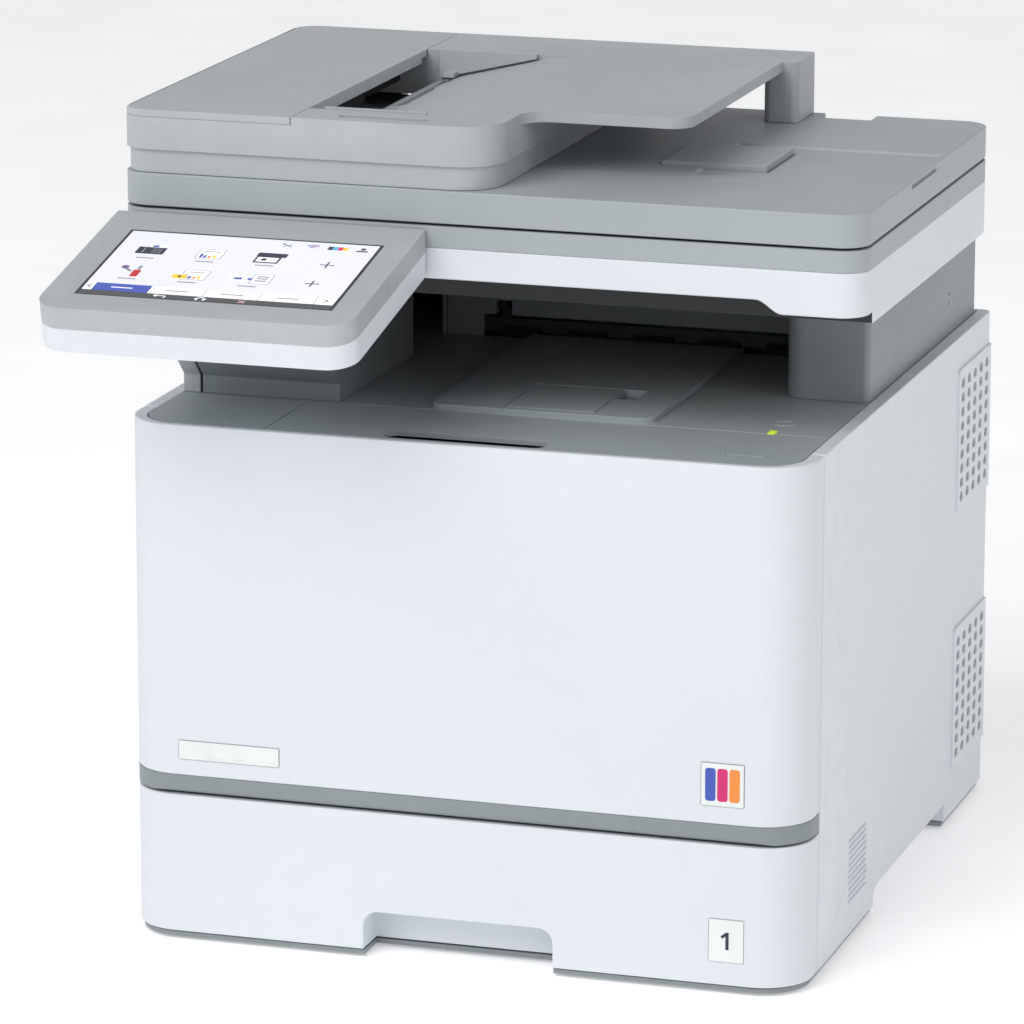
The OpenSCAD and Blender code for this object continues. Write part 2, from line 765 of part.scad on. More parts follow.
module drum_unit() {
    side = eng_x - 14;
    y0 = unit_y0 - 4;
    y1 = unit_y1 + 4;
    color(near_black) difference() {
        union() {
            both_sides() {
                slab(side - 3, side, y0, y1, drum_z - 14, laser_z0 - 6);
                slab(side - 1, eng_x - seat, y0, y1, drum_z + 16, drum_z + 20);
            }
            for (y = [y0, y1 - 3]) slab(-side, side, y, y + 3, drum_z + 14, laser_z0 - 20);
        }
        for (i = [0 : 3]) rod_x(-hx, hx, unit_y0 + (i + 0.5) * unit_pitch, drum_z, shaft_r + run);
    }
    color("darkgreen") for (i = [0 : 3]) {
        y = unit_y0 + (i + 0.5) * unit_pitch;
        rod_x(-side - 2, side + 2, y, drum_z, shaft_r);
        rod_x(-side + 20, side - 20, y, drum_z, drum_r);
    }
}

module toner_cartridges() {
    tints = ["black", "gold", "deeppink", "deepskyblue"];
    side = eng_x - 14 - 3 - seat;
    for (i = [0 : 3]) {
        y = unit_y0 + (i + 0.5) * unit_pitch;
        half = unit_pitch / 2 - 2.5;
        color(tints[i]) difference() {
            slab(-side, side, y - half, y + half, drum_z + drum_r + 4, toner_z1);
            slab(-40, 40, y - half + 4, y + half - 4, toner_z1 - 8, toner_z1 + 1);
        }
    }
}

module laser_unit() {
    color(steel_grey) difference() {
        slab(-eng_x + seat, eng_x - seat, unit_y0 - 10, unit_y1, laser_z0, laser_z1);
        for (i = [0 : 3])
            slab(-eng_x + 30, eng_x - 30, unit_y0 + (i + 0.5) * unit_pitch - 3,
                unit_y0 + (i + 0.5) * unit_pitch + 3, laser_z0 - 1, laser_z0 + 2);
    }
}

module fuser_housing() {
    half = eng_x - seat;
    clear = fuser_r + 2;
    color(near_black) difference() {
        slab(-half, half, heat_y - fuser_r - 6, press_y + fuser_r + 6, fuser_z - 26, fuser_z + 26);
        for (y = [heat_y, press_y]) {
            rod_x(-half + 8, half - 8, y, fuser_z, clear);
            rod_x(-half - 1, half + 1, y, fuser_z, shaft_r + run);
        }
        slab(-half + 8, half - 8, heat_y + fuser_r - 6, heat_y + fuser_r + 6.6, fuser_z - 27, fuser_z + 27);
    }
}

module fuser_roller(y) {
    half = eng_x - seat - 9;
    rod_x(-half - 8.5, half + 8.5, y, fuser_z, shaft_r);
    rod_x(-half, half, y, fuser_z, fuser_r);
}

module heat_roller() { color("dimgray") union() fuser_roller(heat_y); }
module pressure_roller() { color("saddlebrown") union() fuser_roller(press_y); }

module pickup_roller() {
    color(near_black) union() {
        rod_x(-eng_x - 1.5, eng_x + 1.5, pickup_y, pickup_z, shaft_r);
        rod_x(-24, 24, pickup_y, pickup_z, pickup_r);
    }
}

module power_supply() {
    color(steel_grey) difference() {
        slab(-eng_x + 8, 20, eng_y1 - 62, eng_y1 - 12, pan_z + seat, 84);
        for (i = [0 : 9]) slab(-eng_x + 20 + i * 14, -eng_x + 27 + i * 14, eng_y1 - 63, eng_y1 - 59, 20, 70);
    }
}

board_x = -eng_x - plate_t - 9;

module main_board() {
    color("darkgreen") union() {
        slab(board_x - 1.6, board_x, -40, eng_y1 - 20, deck_z - 190, deck_z - 40);
        for (y = [-30, eng_y1 - 30], z = [deck_z - 180, deck_z - 50]) rod_x(board_x - 0.5, board_x + 8.7, y, z, 3);
        slab(board_x, board_x + 6, 20, 60, deck_z - 150, deck_z - 110);
        slab(board_x, board_x + 5, 80, 110, deck_z - 140, deck_z - 80);
        slab(board_x, board_x + 4, -20, 0, deck_z - 120, deck_z - 70);
    }
}

module drive_unit() {
    x0 = eng_x + plate_t + seat;
    color(steel_grey) union() {
        slab(x0, x0 + 14, -120, fan_y - fan_hw - 8, 100, 200);
        rod_x(x0 + 13, x0 + 20, -70, 150, 24);
        rod_x(x0 + 13, x0 + 20, 30, 150, 24);
        slab(x0, x0 + 12, -120, -60, 60, 101);
    }
}

module fan_housing() {
    color(near_black) difference() {
        slab(fan_x0, fan_x0 + fan_d, fan_y - fan_hw, fan_y + fan_hw - 3, fan_z - fan_hw, fan_z + fan_hw);
        rod_x(fan_x0 - 1, fan_x0 + fan_d + 1, fan_y - 1.5, fan_z, fan_r - 1);
    }
    color(near_black) difference() {
        union() {
            rod_x(fan_x0 + fan_d - 2, fan_x0 + fan_d, fan_y - 1.5, fan_z, 12);
            for (a = [0, 90]) translate([fan_x0 + fan_d - 2, fan_y - 1.5, fan_z]) rotate([a, 0, 0])
                slab(0, 2, -fan_r + 0.2, fan_r - 0.2, -1.5, 1.5);
            rod_x(fan_x0 + 3, fan_x0 + fan_d - 1, fan_y - 1.5, fan_z, 2);
        }
    }
}

module fan_rotor() {
    blades = 7;
    color(near_black) difference() {
        translate([fan_x0 + 2, fan_y - 1.5, fan_z]) union() {
            rotate([0, 90, 0]) cylinder(h = fan_d - 5, r = 13);
            for (i = [0 : blades - 1]) rotate([i * 360 / blades, 0, 0])
                translate([fan_d / 2 - 3, 0, 20]) rotate([0, 0, 35]) slab(-6, 6, -0.9, 0.9, -9, 9);
        }
        rod_x(fan_x0, fan_x0 + fan_d + 1, fan_y - 1.5, fan_z, 2 + run);
    }
}

// --- front cover ---------------------------------------------------------

module wrap(inset) {
    intersection() {
        footprint(inset);
        translate([-hx, fy]) square([body_w, wing]);
    }
}

badge_z = 124.4;
badge_x = 158.3;
badge_s = 25;
plate_x0 = -170.5;
plate_w = 61.5;
plate_z0 = 111;
plate_h = 11;

module front_cover() {
    color(cool_white) difference() {
        union() {
            translate([0, 0, band_z1]) linear_extrude(deck_z - band_z1) difference() {
                wrap(0);
                footprint(cover_wall);
            }
            translate([0, 0, deck_z - flange_t]) linear_extrude(flange_t) difference() {
                wrap(0);
                rounded(-hx + side_rim, hx - side_rim, fy + front_rim, ry, deck_r, deck_r, 0, 0);
            }
        }
        slab(badge_x - badge_s / 2 - 0.1, badge_x + badge_s / 2 + 0.1, fy - 1, fy + 0.7,
            badge_z - badge_s / 2 - 0.1, badge_z + badge_s / 2 + 0.1);
        slab(plate_x0 - 0.1, plate_x0 + plate_w + 0.1, fy - 1, fy + 0.7, plate_z0 - 0.1, plate_z0 + plate_h + 0.1);
    }
}

module front_badges() {
    color(cool_white) {
        slab(badge_x - badge_s / 2, badge_x + badge_s / 2, fy - 0.3, fy + 0.7, badge_z - badge_s / 2, badge_z + badge_s / 2);
        slab(plate_x0, plate_x0 + plate_w, fy - 0.3, fy + 0.7, plate_z0, plate_z0 + plate_h);
    }
}

module front_band() {
    color(deck_grey) difference() {
        translate([0, 0, band_z0]) linear_extrude(band_h) difference() {
            wrap(0);
            footprint(cover_wall + 1);
        }
        difference() {
            slab(-hx - 1, hx + 1, fy - 1, hinge_y, band_z0 - 1, hinge_z);
            rod_x(-hx - 1, hx + 1, hinge_y, hinge_z, hinge_r);
        }
    }
}

module front_liner() {
    half = hx - corner_r - 6;
    inner = fy + cover_wall + seat;
    color(deck_grey) difference() {
        union() {
            slab(-half, half, inner, inner + 2.5, band_z1 + 6, deck_z - 20);
            both_sides() slab(half - 3, half, inner, inner + 12, band_z1 + 6, deck_z - 24);
            slab(-half, half, inner, inner + 10, band_z1 + 6, band_z1 + 9);
        }
        for (i = [-3 : 3]) slab(i * 44 - 12, i * 44 + 12, inner + 1.2, inner + 4, band_z1 + 30, deck_z - 50);
    }
}

// --- paper drawer --------------------------------------------------------

label_x = 161.4;
label_z = 32;
label_w = 20.4;
label_h = 25.2;

module hand_outline(grow) {
    r = 9;
    w = hand_hw + grow;
    translate([-w, 0]) square([2 * w, hand_top + grow - r]);
    translate([-w + r, 0]) square([2 * w - 2 * r, hand_top + grow]);
    for (s = [-1, 1]) translate([s * (w - r), hand_top + grow - r]) circle(r);
}

module drawer_front() {
    z0 = cover_z0 + 0.3;
    color(cool_white) difference() {
        union() {
            translate([0, 0, z0]) linear_extrude(drawer_top - z0) difference() {
                wrap(0);
                footprint(wall);
            }
            translate([0, 0, drawer_top - wall]) linear_extrude(wall) difference() {
                wrap(0);
                translate([-hx, fy + 26]) square([body_w, body_d]);
            }
            intersection() {
                along_y(fy + wall / 2, fy + 28) hand_outline(3);
                slab(-hx, hx, fy, fy + 30, z0, drawer_top);
            }
            slab(-tray_x, tray_x, wing_y - 4, wing_y, z0, tray_top);
            both_sides() slab(tray_x - 8, tray_x - 5, fy + wall / 2, wing_y - 1, z0, tray_top);
        }
        along_y(fy - 1, fy + 25) hand_outline(0);
        slab(label_x - label_w / 2 - 0.1, label_x + label_w / 2 + 0.1, fy - 1, fy + 0.7,
            label_z - label_h / 2 - 0.1, label_z + label_h / 2 + 0.1);
    }
}

module drawer_number_plate() {
    color([0.8, 0.82, 0.8]) slab(label_x - label_w / 2, label_x + label_w / 2, fy - 0.3, fy + 0.7,
        label_z - label_h / 2, label_z + label_h / 2);
}

module drawer_tray() {
    z0 = pan_z + seat;
    color(near_black) difference() {
        slab(-tray_x, tray_x, tray_y0, tray_y1, z0, tray_top);
        slab(-tray_x + tray_wall, tray_x - tray_wall, tray_y0 + tray_wall, tray_y1 - tray_wall, z0 + tray_wall, tray_top + 1);
        slab(-120, 120, tray_y1 - 10, tray_y1 + 1, 40, tray_top + 1);
        for (s = [-1, 1]) slab(s * 30 - 20, s * 30 + 20, tray_y0 - 1, tray_y0 + 4, 48, tray_top + 1);
    }
}

module lift_plate() {
    half = paper_w / 2 - 4;
    waist = half - guide_travel - 4;
    y1 = paper_y0 + lift_l;
    color(steel_grey) difference() {
        union() {
            slab(-half, half, paper_y0, guide_y0 - 6, lift_z, lift_z + lift_t);
            slab(-waist, waist, guide_y0 - 7, y1, lift_z, lift_z + lift_t);
            rod_x(-waist, waist, y1, lift_z + 0.5, 1.3);
        }
        for (s = [-1, 1]) slab(s * 45 - 12, s * 45 + 12, paper_y0 + 30, paper_y0 + 90, lift_z - 1, lift_z + 3);
    }
}

module side_guide() {
    x = paper_w / 2 + 1;
    z0 = pan_z + seat + tray_wall + seat;
    color(deck_grey) union() {
        slab(x, x + guide_t, guide_y0, guide_y0 + guide_l, z0, tray_top - 6);
        slab(x, min(x + 36, tray_x - tray_wall - 1), guide_y0 + 20, guide_y0 + 80, z0, z0 + 2);
        slab(x + guide_t - 1, x + 12, guide_y0 + 30, guide_y0 + 33, z0, tray_top - 16);
        slab(x + guide_t - 1, x + 12, guide_y0 + 67, guide_y0 + 70, z0, tray_top - 16);
    }
}

module side_guide_right() { side_guide(); }
module side_guide_left() { mirror([1, 0, 0]) side_guide(); }

module rear_guide() {
    y = paper_y0 + paper_l + 1;
    z0 = pan_z + seat + tray_wall + seat;
    color(deck_grey) union() {
        slab(-22, 22, y, y + 3, z0, tray_top - 10);
        slab(-18, 18, y - 60, y + 8, z0, z0 + 1.2);
        both_sides() slab(14, 17, y, y + 8, z0, tray_top - 20);
    }
}

// --- control panel -------------------------------------------------------

module panel_place() {
    translate([0, panel_y, panel_z]) rotate([panel_tilt, 0, 0]) children();
}

module panel_plan(inset) {
    rounded(panel_x0 + inset, panel_x1 - inset, -panel_l + inset, -inset, 17 - inset, 17 - inset, 1, 1);
}

module panel_bezel() {
    color(feeder_grey) difference() {
        panel_place() bezel_shell();
        slab(panel_x0 - 1, panel_x1 + 1, panel_y, panel_y + 20, panel_z - 60, panel_z + 20);
    }
}

module bezel_shell() {
    difference() {
        translate([0, 0, -bezel_t]) linear_extrude(bezel_t) panel_plan(0);
        translate([0, 0, -bezel_t - 1]) linear_extrude(bezel_t - 2) panel_plan(wall);
        slab(glass_cx - glass_w / 2, glass_cx + glass_w / 2, glass_y1 - glass_d, glass_y1, -glass_t, 1);
        slab(glass_cx - glass_w / 2 + 4, glass_cx + glass_w / 2 - 4, glass_y1 - glass_d + 4, glass_y1 - 4, -6, 1);
    }
}

module display_glass() {
    color(near_black) panel_place()
        slab(glass_cx - glass_w / 2 + 0.2, glass_cx + glass_w / 2 - 0.2, glass_y1 - glass_d + 0.2,
            glass_y1 - 0.2, -glass_t + 0.05, -0.15);
}

module panel_lower_case() {
    color(cool_white) difference() {
        panel_place() lower_shell();
        slab(panel_x0 - 1, panel_x1 + 1, panel_y, panel_y + 20, panel_z - 60, panel_z + 20);
    }
}

module lower_shell() {
    difference() {
        union() {
            difference() {
                translate([0, 0, -panel_t]) linear_extrude(panel_t - bezel_t) panel_plan(0);
                translate([0, 0, -panel_t + wall]) linear_extrude(panel_t) panel_plan(wall);
                difference() {
                    slab(panel_x0 - 1, panel_x1 + 1, -tilt_y, 1, -panel_t - 1, tilt_z);
                    rod_x(panel_x0 - 1, panel_x1 + 1, -tilt_y, tilt_z, tilt_max_r);
                }
            }
            slab(tilt_x - tilt_hw - 5, tilt_x - tilt_hw, -33, -8, -panel_t + 1, -bezel_t - 1);
            slab(tilt_x + tilt_hw, tilt_x + tilt_hw + 5, -33, -8, -panel_t + 1, -bezel_t - 1);
            rod_x(tilt_x - tilt_hw - 1, tilt_x + tilt_hw + 1, -tilt_y, tilt_z, shaft_r);
        }
        difference() {
            slab(tilt_x - tilt_hw, tilt_x + tilt_hw, -32, 1, -panel_t - 1, -bezel_t + 1);
            rod_x(tilt_x - tilt_hw - 1, tilt_x + tilt_hw + 1, -tilt_y, tilt_z, shaft_r);
        }
    }
}

// --- document feeder -----------------------------------------------------

module platen_cover() {
    color(feeder_grey) difference() {
        union() {
            difference() {
                translate([0, 0, cover_z]) linear_extrude(cover_h) scan_plan(0);
                translate([0, 0, cover_z - 1]) linear_extrude(cover_h - 3.5) scan_plan(wall);
                both_sides() slab(hinge_x - hinge_hw - 2, hinge_x + hinge_hw + 2, pin_y - 14, sy1 + 1, cover_z - 1, out_z + 1);
            }
            both_sides() {
                rod_x(hinge_x - hinge_hw - 5, hinge_x + hinge_hw + 5, pin_y, pin_z, shaft_r);
                for (s = [-1, 1]) slab(hinge_x + s * (hinge_hw + 3.5) - 1.5, hinge_x + s * (hinge_hw + 3.5) + 1.5,
                    pin_y - 13, sy1 - 1, cover_z + 0.5, out_z - 2);
            }
        }
        slab(shx - 2, shx + 1, -65, -5, out_z - 4.8, out_z - 2.6);
        slab(96, shx - 4, -82, 22, out_z - 1.6, out_z + 1);
        slab(stop2_x0 - 3.2, stop2_x1 + 0.8, stop2_y0 - 0.8, stop2_y1 + 0.8, out_z - 2.2, out_z + 1);
    }
    color(feeder_grey) difference() {
        slab(stop2_x0 - 5, stop2_x1 + 4, stop2_y0 - 5, stop2_y1 + 5, out_z - 8, out_z - 4.5 + 0.01);
        slab(stop2_x0 - 4, stop2_x1 + 1, stop2_y0 - 2, stop2_y1 + 2, out_z - 6, out_z);
    }
}

stop2_x0 = 72;
stop2_x1 = 134;
stop2_y0 = -58;
stop2_y1 = 4;
stop2_z = out_z + 0.2;

module output_stop() {
    color(feeder_grey) union() {
        slab(stop2_x0, stop2_x1, stop2_y0, stop2_y1, out_z - 1.9, stop2_z + 2);
        rod_y(stop2_x0, stop2_y0, stop2_y1, stop2_z, 2);
    }
}

// Plan of the feeder block's lower layer, inset all round
module feed_plan(inset) {
    rounded(-shx + inset, feed_x1 - inset, sy0 + inset, sy1 - inset,
        scan_r - inset, 27 - inset, 2, scan_r - inset);
}

// Plan of the input tray with a hollow blend into the block
module tray_plan() {
    blend = 16;
    rounded(feed_x1 - 8, tray_x1, tray_front, sy1, 0, 14, 3, 0);
    difference() {
        translate([feed_x1 - 4, tray_front - blend]) square([blend + 4, blend + 1]);
        translate([feed_x1 + blend, tray_front - blend]) circle(blend);
    }
}

// Paper channel: level at its right end, sloping down to the feed mouth
module channel_side(lift) {
    polygon([[mouth_x - 1, chan_z + lift], [chan_x1, feed_z2 - 0.5 + lift], [chan_x1 + 14, feed_z2 + lift],
        [chan_x1 + 14, feed_z2 + 20], [mouth_x - 1, feed_z2 + 20]]);
}

module feeder_body() {
    color(feeder_grey) difference() {
        union() {
            translate([0, 0, feed_z0]) linear_extrude(feed_z1 - feed_z0 + 0.5) feed_plan(2);
            translate([0, 0, feed_z1]) linear_extrude(feed_up_h) feed_plan(0);
            translate([0, 0, feed_z2 - tray_edge_t]) linear_extrude(tray_edge_t) tray_plan();
            translate([0, 0, feed_z0]) linear_extrude(feed_z2 - feed_z0 - 1)
                rounded(tray_x1 - 12, tray_x1 + 10, 96, sy1, 5, 5, 3, 3);
            translate([0, 0, feed_z2 - 2]) linear_extrude(2)
                rounded(tray_x1 - 12, tray_x1 + 10, 96, sy1, 5, 5, 3, 3);
        }
        along_y(chan_y0, chan_y1) channel_side(0);
        slab(-shx - 1, lid_x1 + 0.5, sy0 - 1, sy1 + 1, lid_z - 0.1, feed_z2 + 1);
        slab(-shx + 24, mouth_x + 1, chan_y0, chan_y1, feed_z1 - 6, feed_z2 + 1);
        slab(mouth_x, mouth_x + 2, chan_y0, chan_y1, feed_z1 - 6, feed_z2 + 1);
        translate([0, 0, feed_z0 - 1]) linear_extrude(10) rounded(-shx + 8, feed_x1 - 8, sy0 + 8, sy1 - 8, 10, 18, 2, 10);
        translate([0, 0, feed_z2 - 3]) linear_extrude(6) rounded(-92, -38, -168, -160, 3, 3, 3, 3);
        rod_y(roller_x, chan_y0 - 6, chan_y1 + 6, roller_z, shaft_r + run);
        for (s = [0, 1]) slab(-104, -96, chan_y0 + 6 + s * 106, chan_y0 + 107 + s * 106, feed_z1 + 1, feed_z2);
    }
}

lid_pin_x = -shx + 2.3;
lid_pin_z = lid_z + lid_t / 2;
lid_r = 2.15;

module feeder_lid() {
    color(feeder_grey) union() {
        intersection() {
            translate([0, 0, lid_z]) linear_extrude(lid_t) feed_plan(0);
            slab(lid_pin_x, lid_x1, sy0 - 1, sy1 + 1, lid_z, lid_z + lid_t);
        }
        rod_y(lid_pin_x, sy0 + scan_r, sy1 - scan_r, lid_pin_z, lid_r);
        slab(mouth_x - 12, lid_x1, chan_y0 + 10, chan_y1 - 10, lid_z - 3, lid_z + 1);
    }
}

roller_x = -138;
roller_z = feed_z1 + 5;

module feed_roller() {
    color(near_black) union() {
        rod_y(roller_x, chan_y0 - 5, chan_y1 + 5, roller_z, shaft_r);
        rod_y(roller_x, -62, -8, roller_z, 8);
    }
}

module guide_side() {
    polygon([[-108, chan_z + 3.2], [-46, feed_z2 - 2], [-46, feed_z2 + 1], [-108, feed_z2 + 1]]);
}

module feeder_guide_front() {
    color(feeder_grey) union() {
        along_y(chan_y0 + 0.4, chan_y0 + fin_t) guide_side();
        slab(-103.5, -96.5, chan_y0 + 6.5, chan_y0 + 30, feed_z1 + 2, chan_z + 1.5);
        slab(-103.5, -96.5, chan_y0 + 1, chan_y0 + 12, chan_z + 5, chan_z + 8);
    }
}

module feeder_guide_rear() {
    color(feeder_grey) translate([0, chan_y0 + chan_y1, 0]) mirror([0, 1, 0]) feeder_guide_front();
}

base_frame();
feet();
left_side_cover();
right_side_cover();
rear_panel();
engine_frame();
top_deck();
power_panel();
left_tower();
left_tower_cover();
right_tower();
rear_riser();
scanner_base();
scanner_trim();
platen_glass();
scanner_steelwork();
laser_unit();
drum_unit();
toner_cartridges();
transfer_belt();
fuser_housing();
power_supply();
main_board();
drive_unit();
fan_housing();
rear_sockets();
status_light();
screws();
power_button();
cover_release_button();
paper_stop();
exit_flag();
scan_carriage();
rear_door();
front_cover();
front_band();
front_liner();
front_badges();
panel_lower_case();
panel_bezel();
display_glass();
drawer_front();
drawer_tray();
drawer_number_plate();
lift_plate();
side_guide_left();
side_guide_right();
rear_guide();
pickup_roller();
heat_roller();
pressure_roller();
exit_roller();
fan_rotor();
platen_cover();
feeder_body();
feeder_lid();
feeder_guide_front();
feeder_guide_rear();
output_stop();
feed_roller();
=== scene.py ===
"""Looks of a desktop colour copier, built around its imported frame.

Lengths in the dataclass fields are millimetres; meshes are made in metres.
"""

import json
import logging
import math
from contextlib import contextmanager
from dataclasses import dataclass
from enum import Enum
from typing import Callable, Dict, Iterator, List, Optional, Sequence, Tuple

import bpy
from mathutils import Matrix, Vector
from mathutils.bvhtree import BVHTree

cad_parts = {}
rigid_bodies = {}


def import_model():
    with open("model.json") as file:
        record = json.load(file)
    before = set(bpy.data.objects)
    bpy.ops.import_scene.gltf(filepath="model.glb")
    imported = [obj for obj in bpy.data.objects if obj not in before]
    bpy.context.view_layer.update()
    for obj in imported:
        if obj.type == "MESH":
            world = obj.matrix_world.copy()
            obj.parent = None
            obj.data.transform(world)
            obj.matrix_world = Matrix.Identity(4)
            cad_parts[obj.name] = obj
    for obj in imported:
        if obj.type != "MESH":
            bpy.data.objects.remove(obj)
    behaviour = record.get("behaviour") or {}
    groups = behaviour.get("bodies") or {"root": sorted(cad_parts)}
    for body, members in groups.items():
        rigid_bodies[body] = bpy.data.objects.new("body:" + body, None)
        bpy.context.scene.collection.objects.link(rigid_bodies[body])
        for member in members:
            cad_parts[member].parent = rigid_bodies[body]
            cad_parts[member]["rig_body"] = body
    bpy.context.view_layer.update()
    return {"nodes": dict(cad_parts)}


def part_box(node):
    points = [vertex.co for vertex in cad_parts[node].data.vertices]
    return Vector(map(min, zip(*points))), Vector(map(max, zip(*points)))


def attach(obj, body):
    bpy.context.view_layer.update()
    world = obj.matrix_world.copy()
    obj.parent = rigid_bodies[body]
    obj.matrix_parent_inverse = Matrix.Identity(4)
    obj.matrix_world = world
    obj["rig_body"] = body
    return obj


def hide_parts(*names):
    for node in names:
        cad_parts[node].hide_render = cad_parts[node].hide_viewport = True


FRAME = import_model()

MM = 0.001
LOG = logging.getLogger("copier")
Colour = Tuple[float, float, float]
Spot = Tuple[float, float]

FLOW_SCALE = 7.0
RUB_SCALE = 60.0
DUST_SCALE = 22.0
STREAK_SCALE = 900.0
STREAK_STRETCH = (1.0, 0.04, 1.0)
PRINT_GRAIN = 900.0
DUST_TINT = (0.62, 0.61, 0.58, 1.0)
MERGE_GAP = 0.01 * MM
FLAT_ANGLE = math.radians(0.5)
SMOOTH_ANGLE = math.radians(32)
SHARP_ANGLE = math.radians(38)
EDGE_SHARES = (1.0, 0.6, 0.35, 0.2, 0.1)
FACES_UP = 0.9

class Axis(Enum):
    """The way a mark on a flat face looks out."""

    UP = "up"
    FRONT = "front"


class Marking(Enum):
    """Colours of the generic marks on the display and the badges."""

    INK = (38, 38, 60)
    GREY = (140, 142, 150)
    BLUE = (62, 84, 178)
    SKY = (70, 175, 220)
    ROSE = (206, 30, 110)
    SUN = (245, 205, 30)
    RED = (190, 32, 40)
    PAPER = (250, 250, 252)
    FIELD = (229, 230, 241)
    STRIP = (74, 74, 76)
    ORANGE = (236, 140, 60)
    PLUM = (128, 92, 160)
    LINE = (120, 122, 132)
    BLUSH = (222, 170, 178)


def linear(red: float, green: float, blue: float) -> Colour:
    """Turns display values from 0 to 255 into linear light.

    Args:
        red: Red value.
        green: Green value.
        blue: Blue value.

    Returns:
        The colour in linear light, from 0 to 1.
    """

    def one(value: float) -> float:
        """One channel in linear light."""
        part = value / 255
        return part / 12.92 if part <= 0.04045 else ((part + 0.055) / 1.055) ** 2.4

    return one(red), one(green), one(blue)


# ------------------------------------------------------------ shared effects


class EffectGroup:
    """A shader node group with named sockets, built once."""

    def __init__(self, name: str) -> None:
        """Starts an empty group.

        Args:
            name: The group's name.
        """
        self.tree = bpy.data.node_groups.new(name, "ShaderNodeTree")
        self.entry = self.tree.nodes.new("NodeGroupInput")
        self.exit = self.tree.nodes.new("NodeGroupOutput")

    def takes(self, name: str, kind: str, value: object) -> bpy.types.NodeSocket:
        """Adds an input.

        Args:
            name: The socket's name.
            kind: Float, Color or Vector.
            value: The value it starts with.

        Returns:
            The socket inside the group.
        """
        item = self.tree.interface.new_socket(
            name, in_out="INPUT", socket_type=f"NodeSocket{kind}"
        )
        item.default_value = value
        return self.entry.outputs[name]

    def gives(self, name: str, kind: str, source: bpy.types.NodeSocket) -> None:
        """Adds an output and links it.

        Args:
            name: The socket's name.
            kind: Float, Color or Vector.
            source: What it puts out.
        """
        self.tree.interface.new_socket(
            name, in_out="OUTPUT", socket_type=f"NodeSocket{kind}"
        )
        self.tree.links.new(source, self.exit.inputs[name])

    def node(self, kind: str, **settings: object) -> bpy.types.Node:
        """Adds a node to the group.

        Args:
            kind: The node's type.
            **settings: Properties to set on it.

        Returns:
            The new node.
        """
        made = self.tree.nodes.new(kind)
        for key, value in settings.items():
            setattr(made, key, value)
        return made

    def link(self, source: bpy.types.NodeSocket, target: bpy.types.NodeSocket) -> None:
        """Links two sockets."""
        self.tree.links.new(source, target)

    def noise(self, scale: object, detail: float) -> bpy.types.Node:
        """A noise texture on object coordinates.

        Args:
            scale: A number, or the socket that gives it.
            detail: Octaves of the noise.

        Returns:
            The noise node.
        """
        coords = self.node("ShaderNodeTexCoord")
        made = self.node("ShaderNodeTexNoise")
        made.inputs["Detail"].default_value = detail
        self.link(coords.outputs["Object"], made.inputs["Vector"])
        if isinstance(scale, (int, float)):
            made.inputs["Scale"].default_value = scale
        else:
            self.link(scale, made.inputs["Scale"])
        return made

    def mixed(
        self,
        factor: bpy.types.NodeSocket,
        first: bpy.types.NodeSocket,
        second: bpy.types.NodeSocket,
    ) -> bpy.types.NodeSocket:
        """Mixes two colours.

        Args:
            factor: The share of the second colour.
            first: The first colour.
            second: The second colour.

        Returns:
            The mixed colour.
        """
        made = self.node("ShaderNodeMix", data_type="RGBA")
        self.link(factor, made.inputs[0])
        self.link(first, made.inputs[6])
        self.link(second, made.inputs[7])
        return made.outputs[2]

    def product(
        self, first: bpy.types.NodeSocket, second: bpy.types.NodeSocket
    ) -> bpy.types.NodeSocket:
        """Multiplies two values."""
        made = self.node("ShaderNodeMath", operation="MULTIPLY")
        self.link(first, made.inputs[0])
        self.link(second, made.inputs[1])
        return made.outputs[0]

    def ranged(
        self,
        source: bpy.types.NodeSocket,
        low: float,
        high: float,
        to_low: object,
        to_high: object,
    ) -> bpy.types.NodeSocket:
        """Maps a value from one range to another.

        Args:
            source: The value.
            low: The lower end of its range.
            high: The upper end of its range.
            to_low: A number or socket for the new lower end.
            to_high: A number or socket for the new upper end.

        Returns:
            The mapped value.
        """
        made = self.node("ShaderNodeMapRange")
        self.link(source, made.inputs["Value"])
        made.inputs["From Min"].default_value = low
        made.inputs["From Max"].default_value = high
        for name, value in (("To Min", to_low), ("To Max", to_high)):
            if isinstance(value, (int, float)):
                made.inputs[name].default_value = value
            else:
                self.link(value, made.inputs[name])
        return made.outputs["Result"]


def moulded_grain() -> EffectGroup:
    """The spark-eroded grain and faint flow shading of moulded plastic.

    Returns:
        A group with Colour, Roughness and Height outputs.
    """
    group = EffectGroup("moulded_grain")
    colour = group.takes("Colour", "Color", (0.8, 0.8, 0.8, 1))
    shaded = group.takes("Shaded", "Color", (0.7, 0.7, 0.7, 1))
    grain = group.takes("Grain", "Float", 2200.0)
    smooth = group.takes("Smooth", "Float", 0.4)
    rough = group.takes("Rough", "Float", 0.6)
    flow = group.noise(FLOW_SCALE, 3.0)
    fine = group.noise(grain, 2.0)
    share = group.ranged(flow.outputs["Fac"], 0.35, 0.65, 0.0, 1.0)
    group.gives("Colour", "Color", group.mixed(share, colour, shaded))
    group.gives(
        "Roughness", "Float", group.ranged(fine.outputs["Fac"], 0.3, 0.7, smooth, rough)
    )
    group.gives("Height", "Float", fine.outputs["Fac"])
    return group


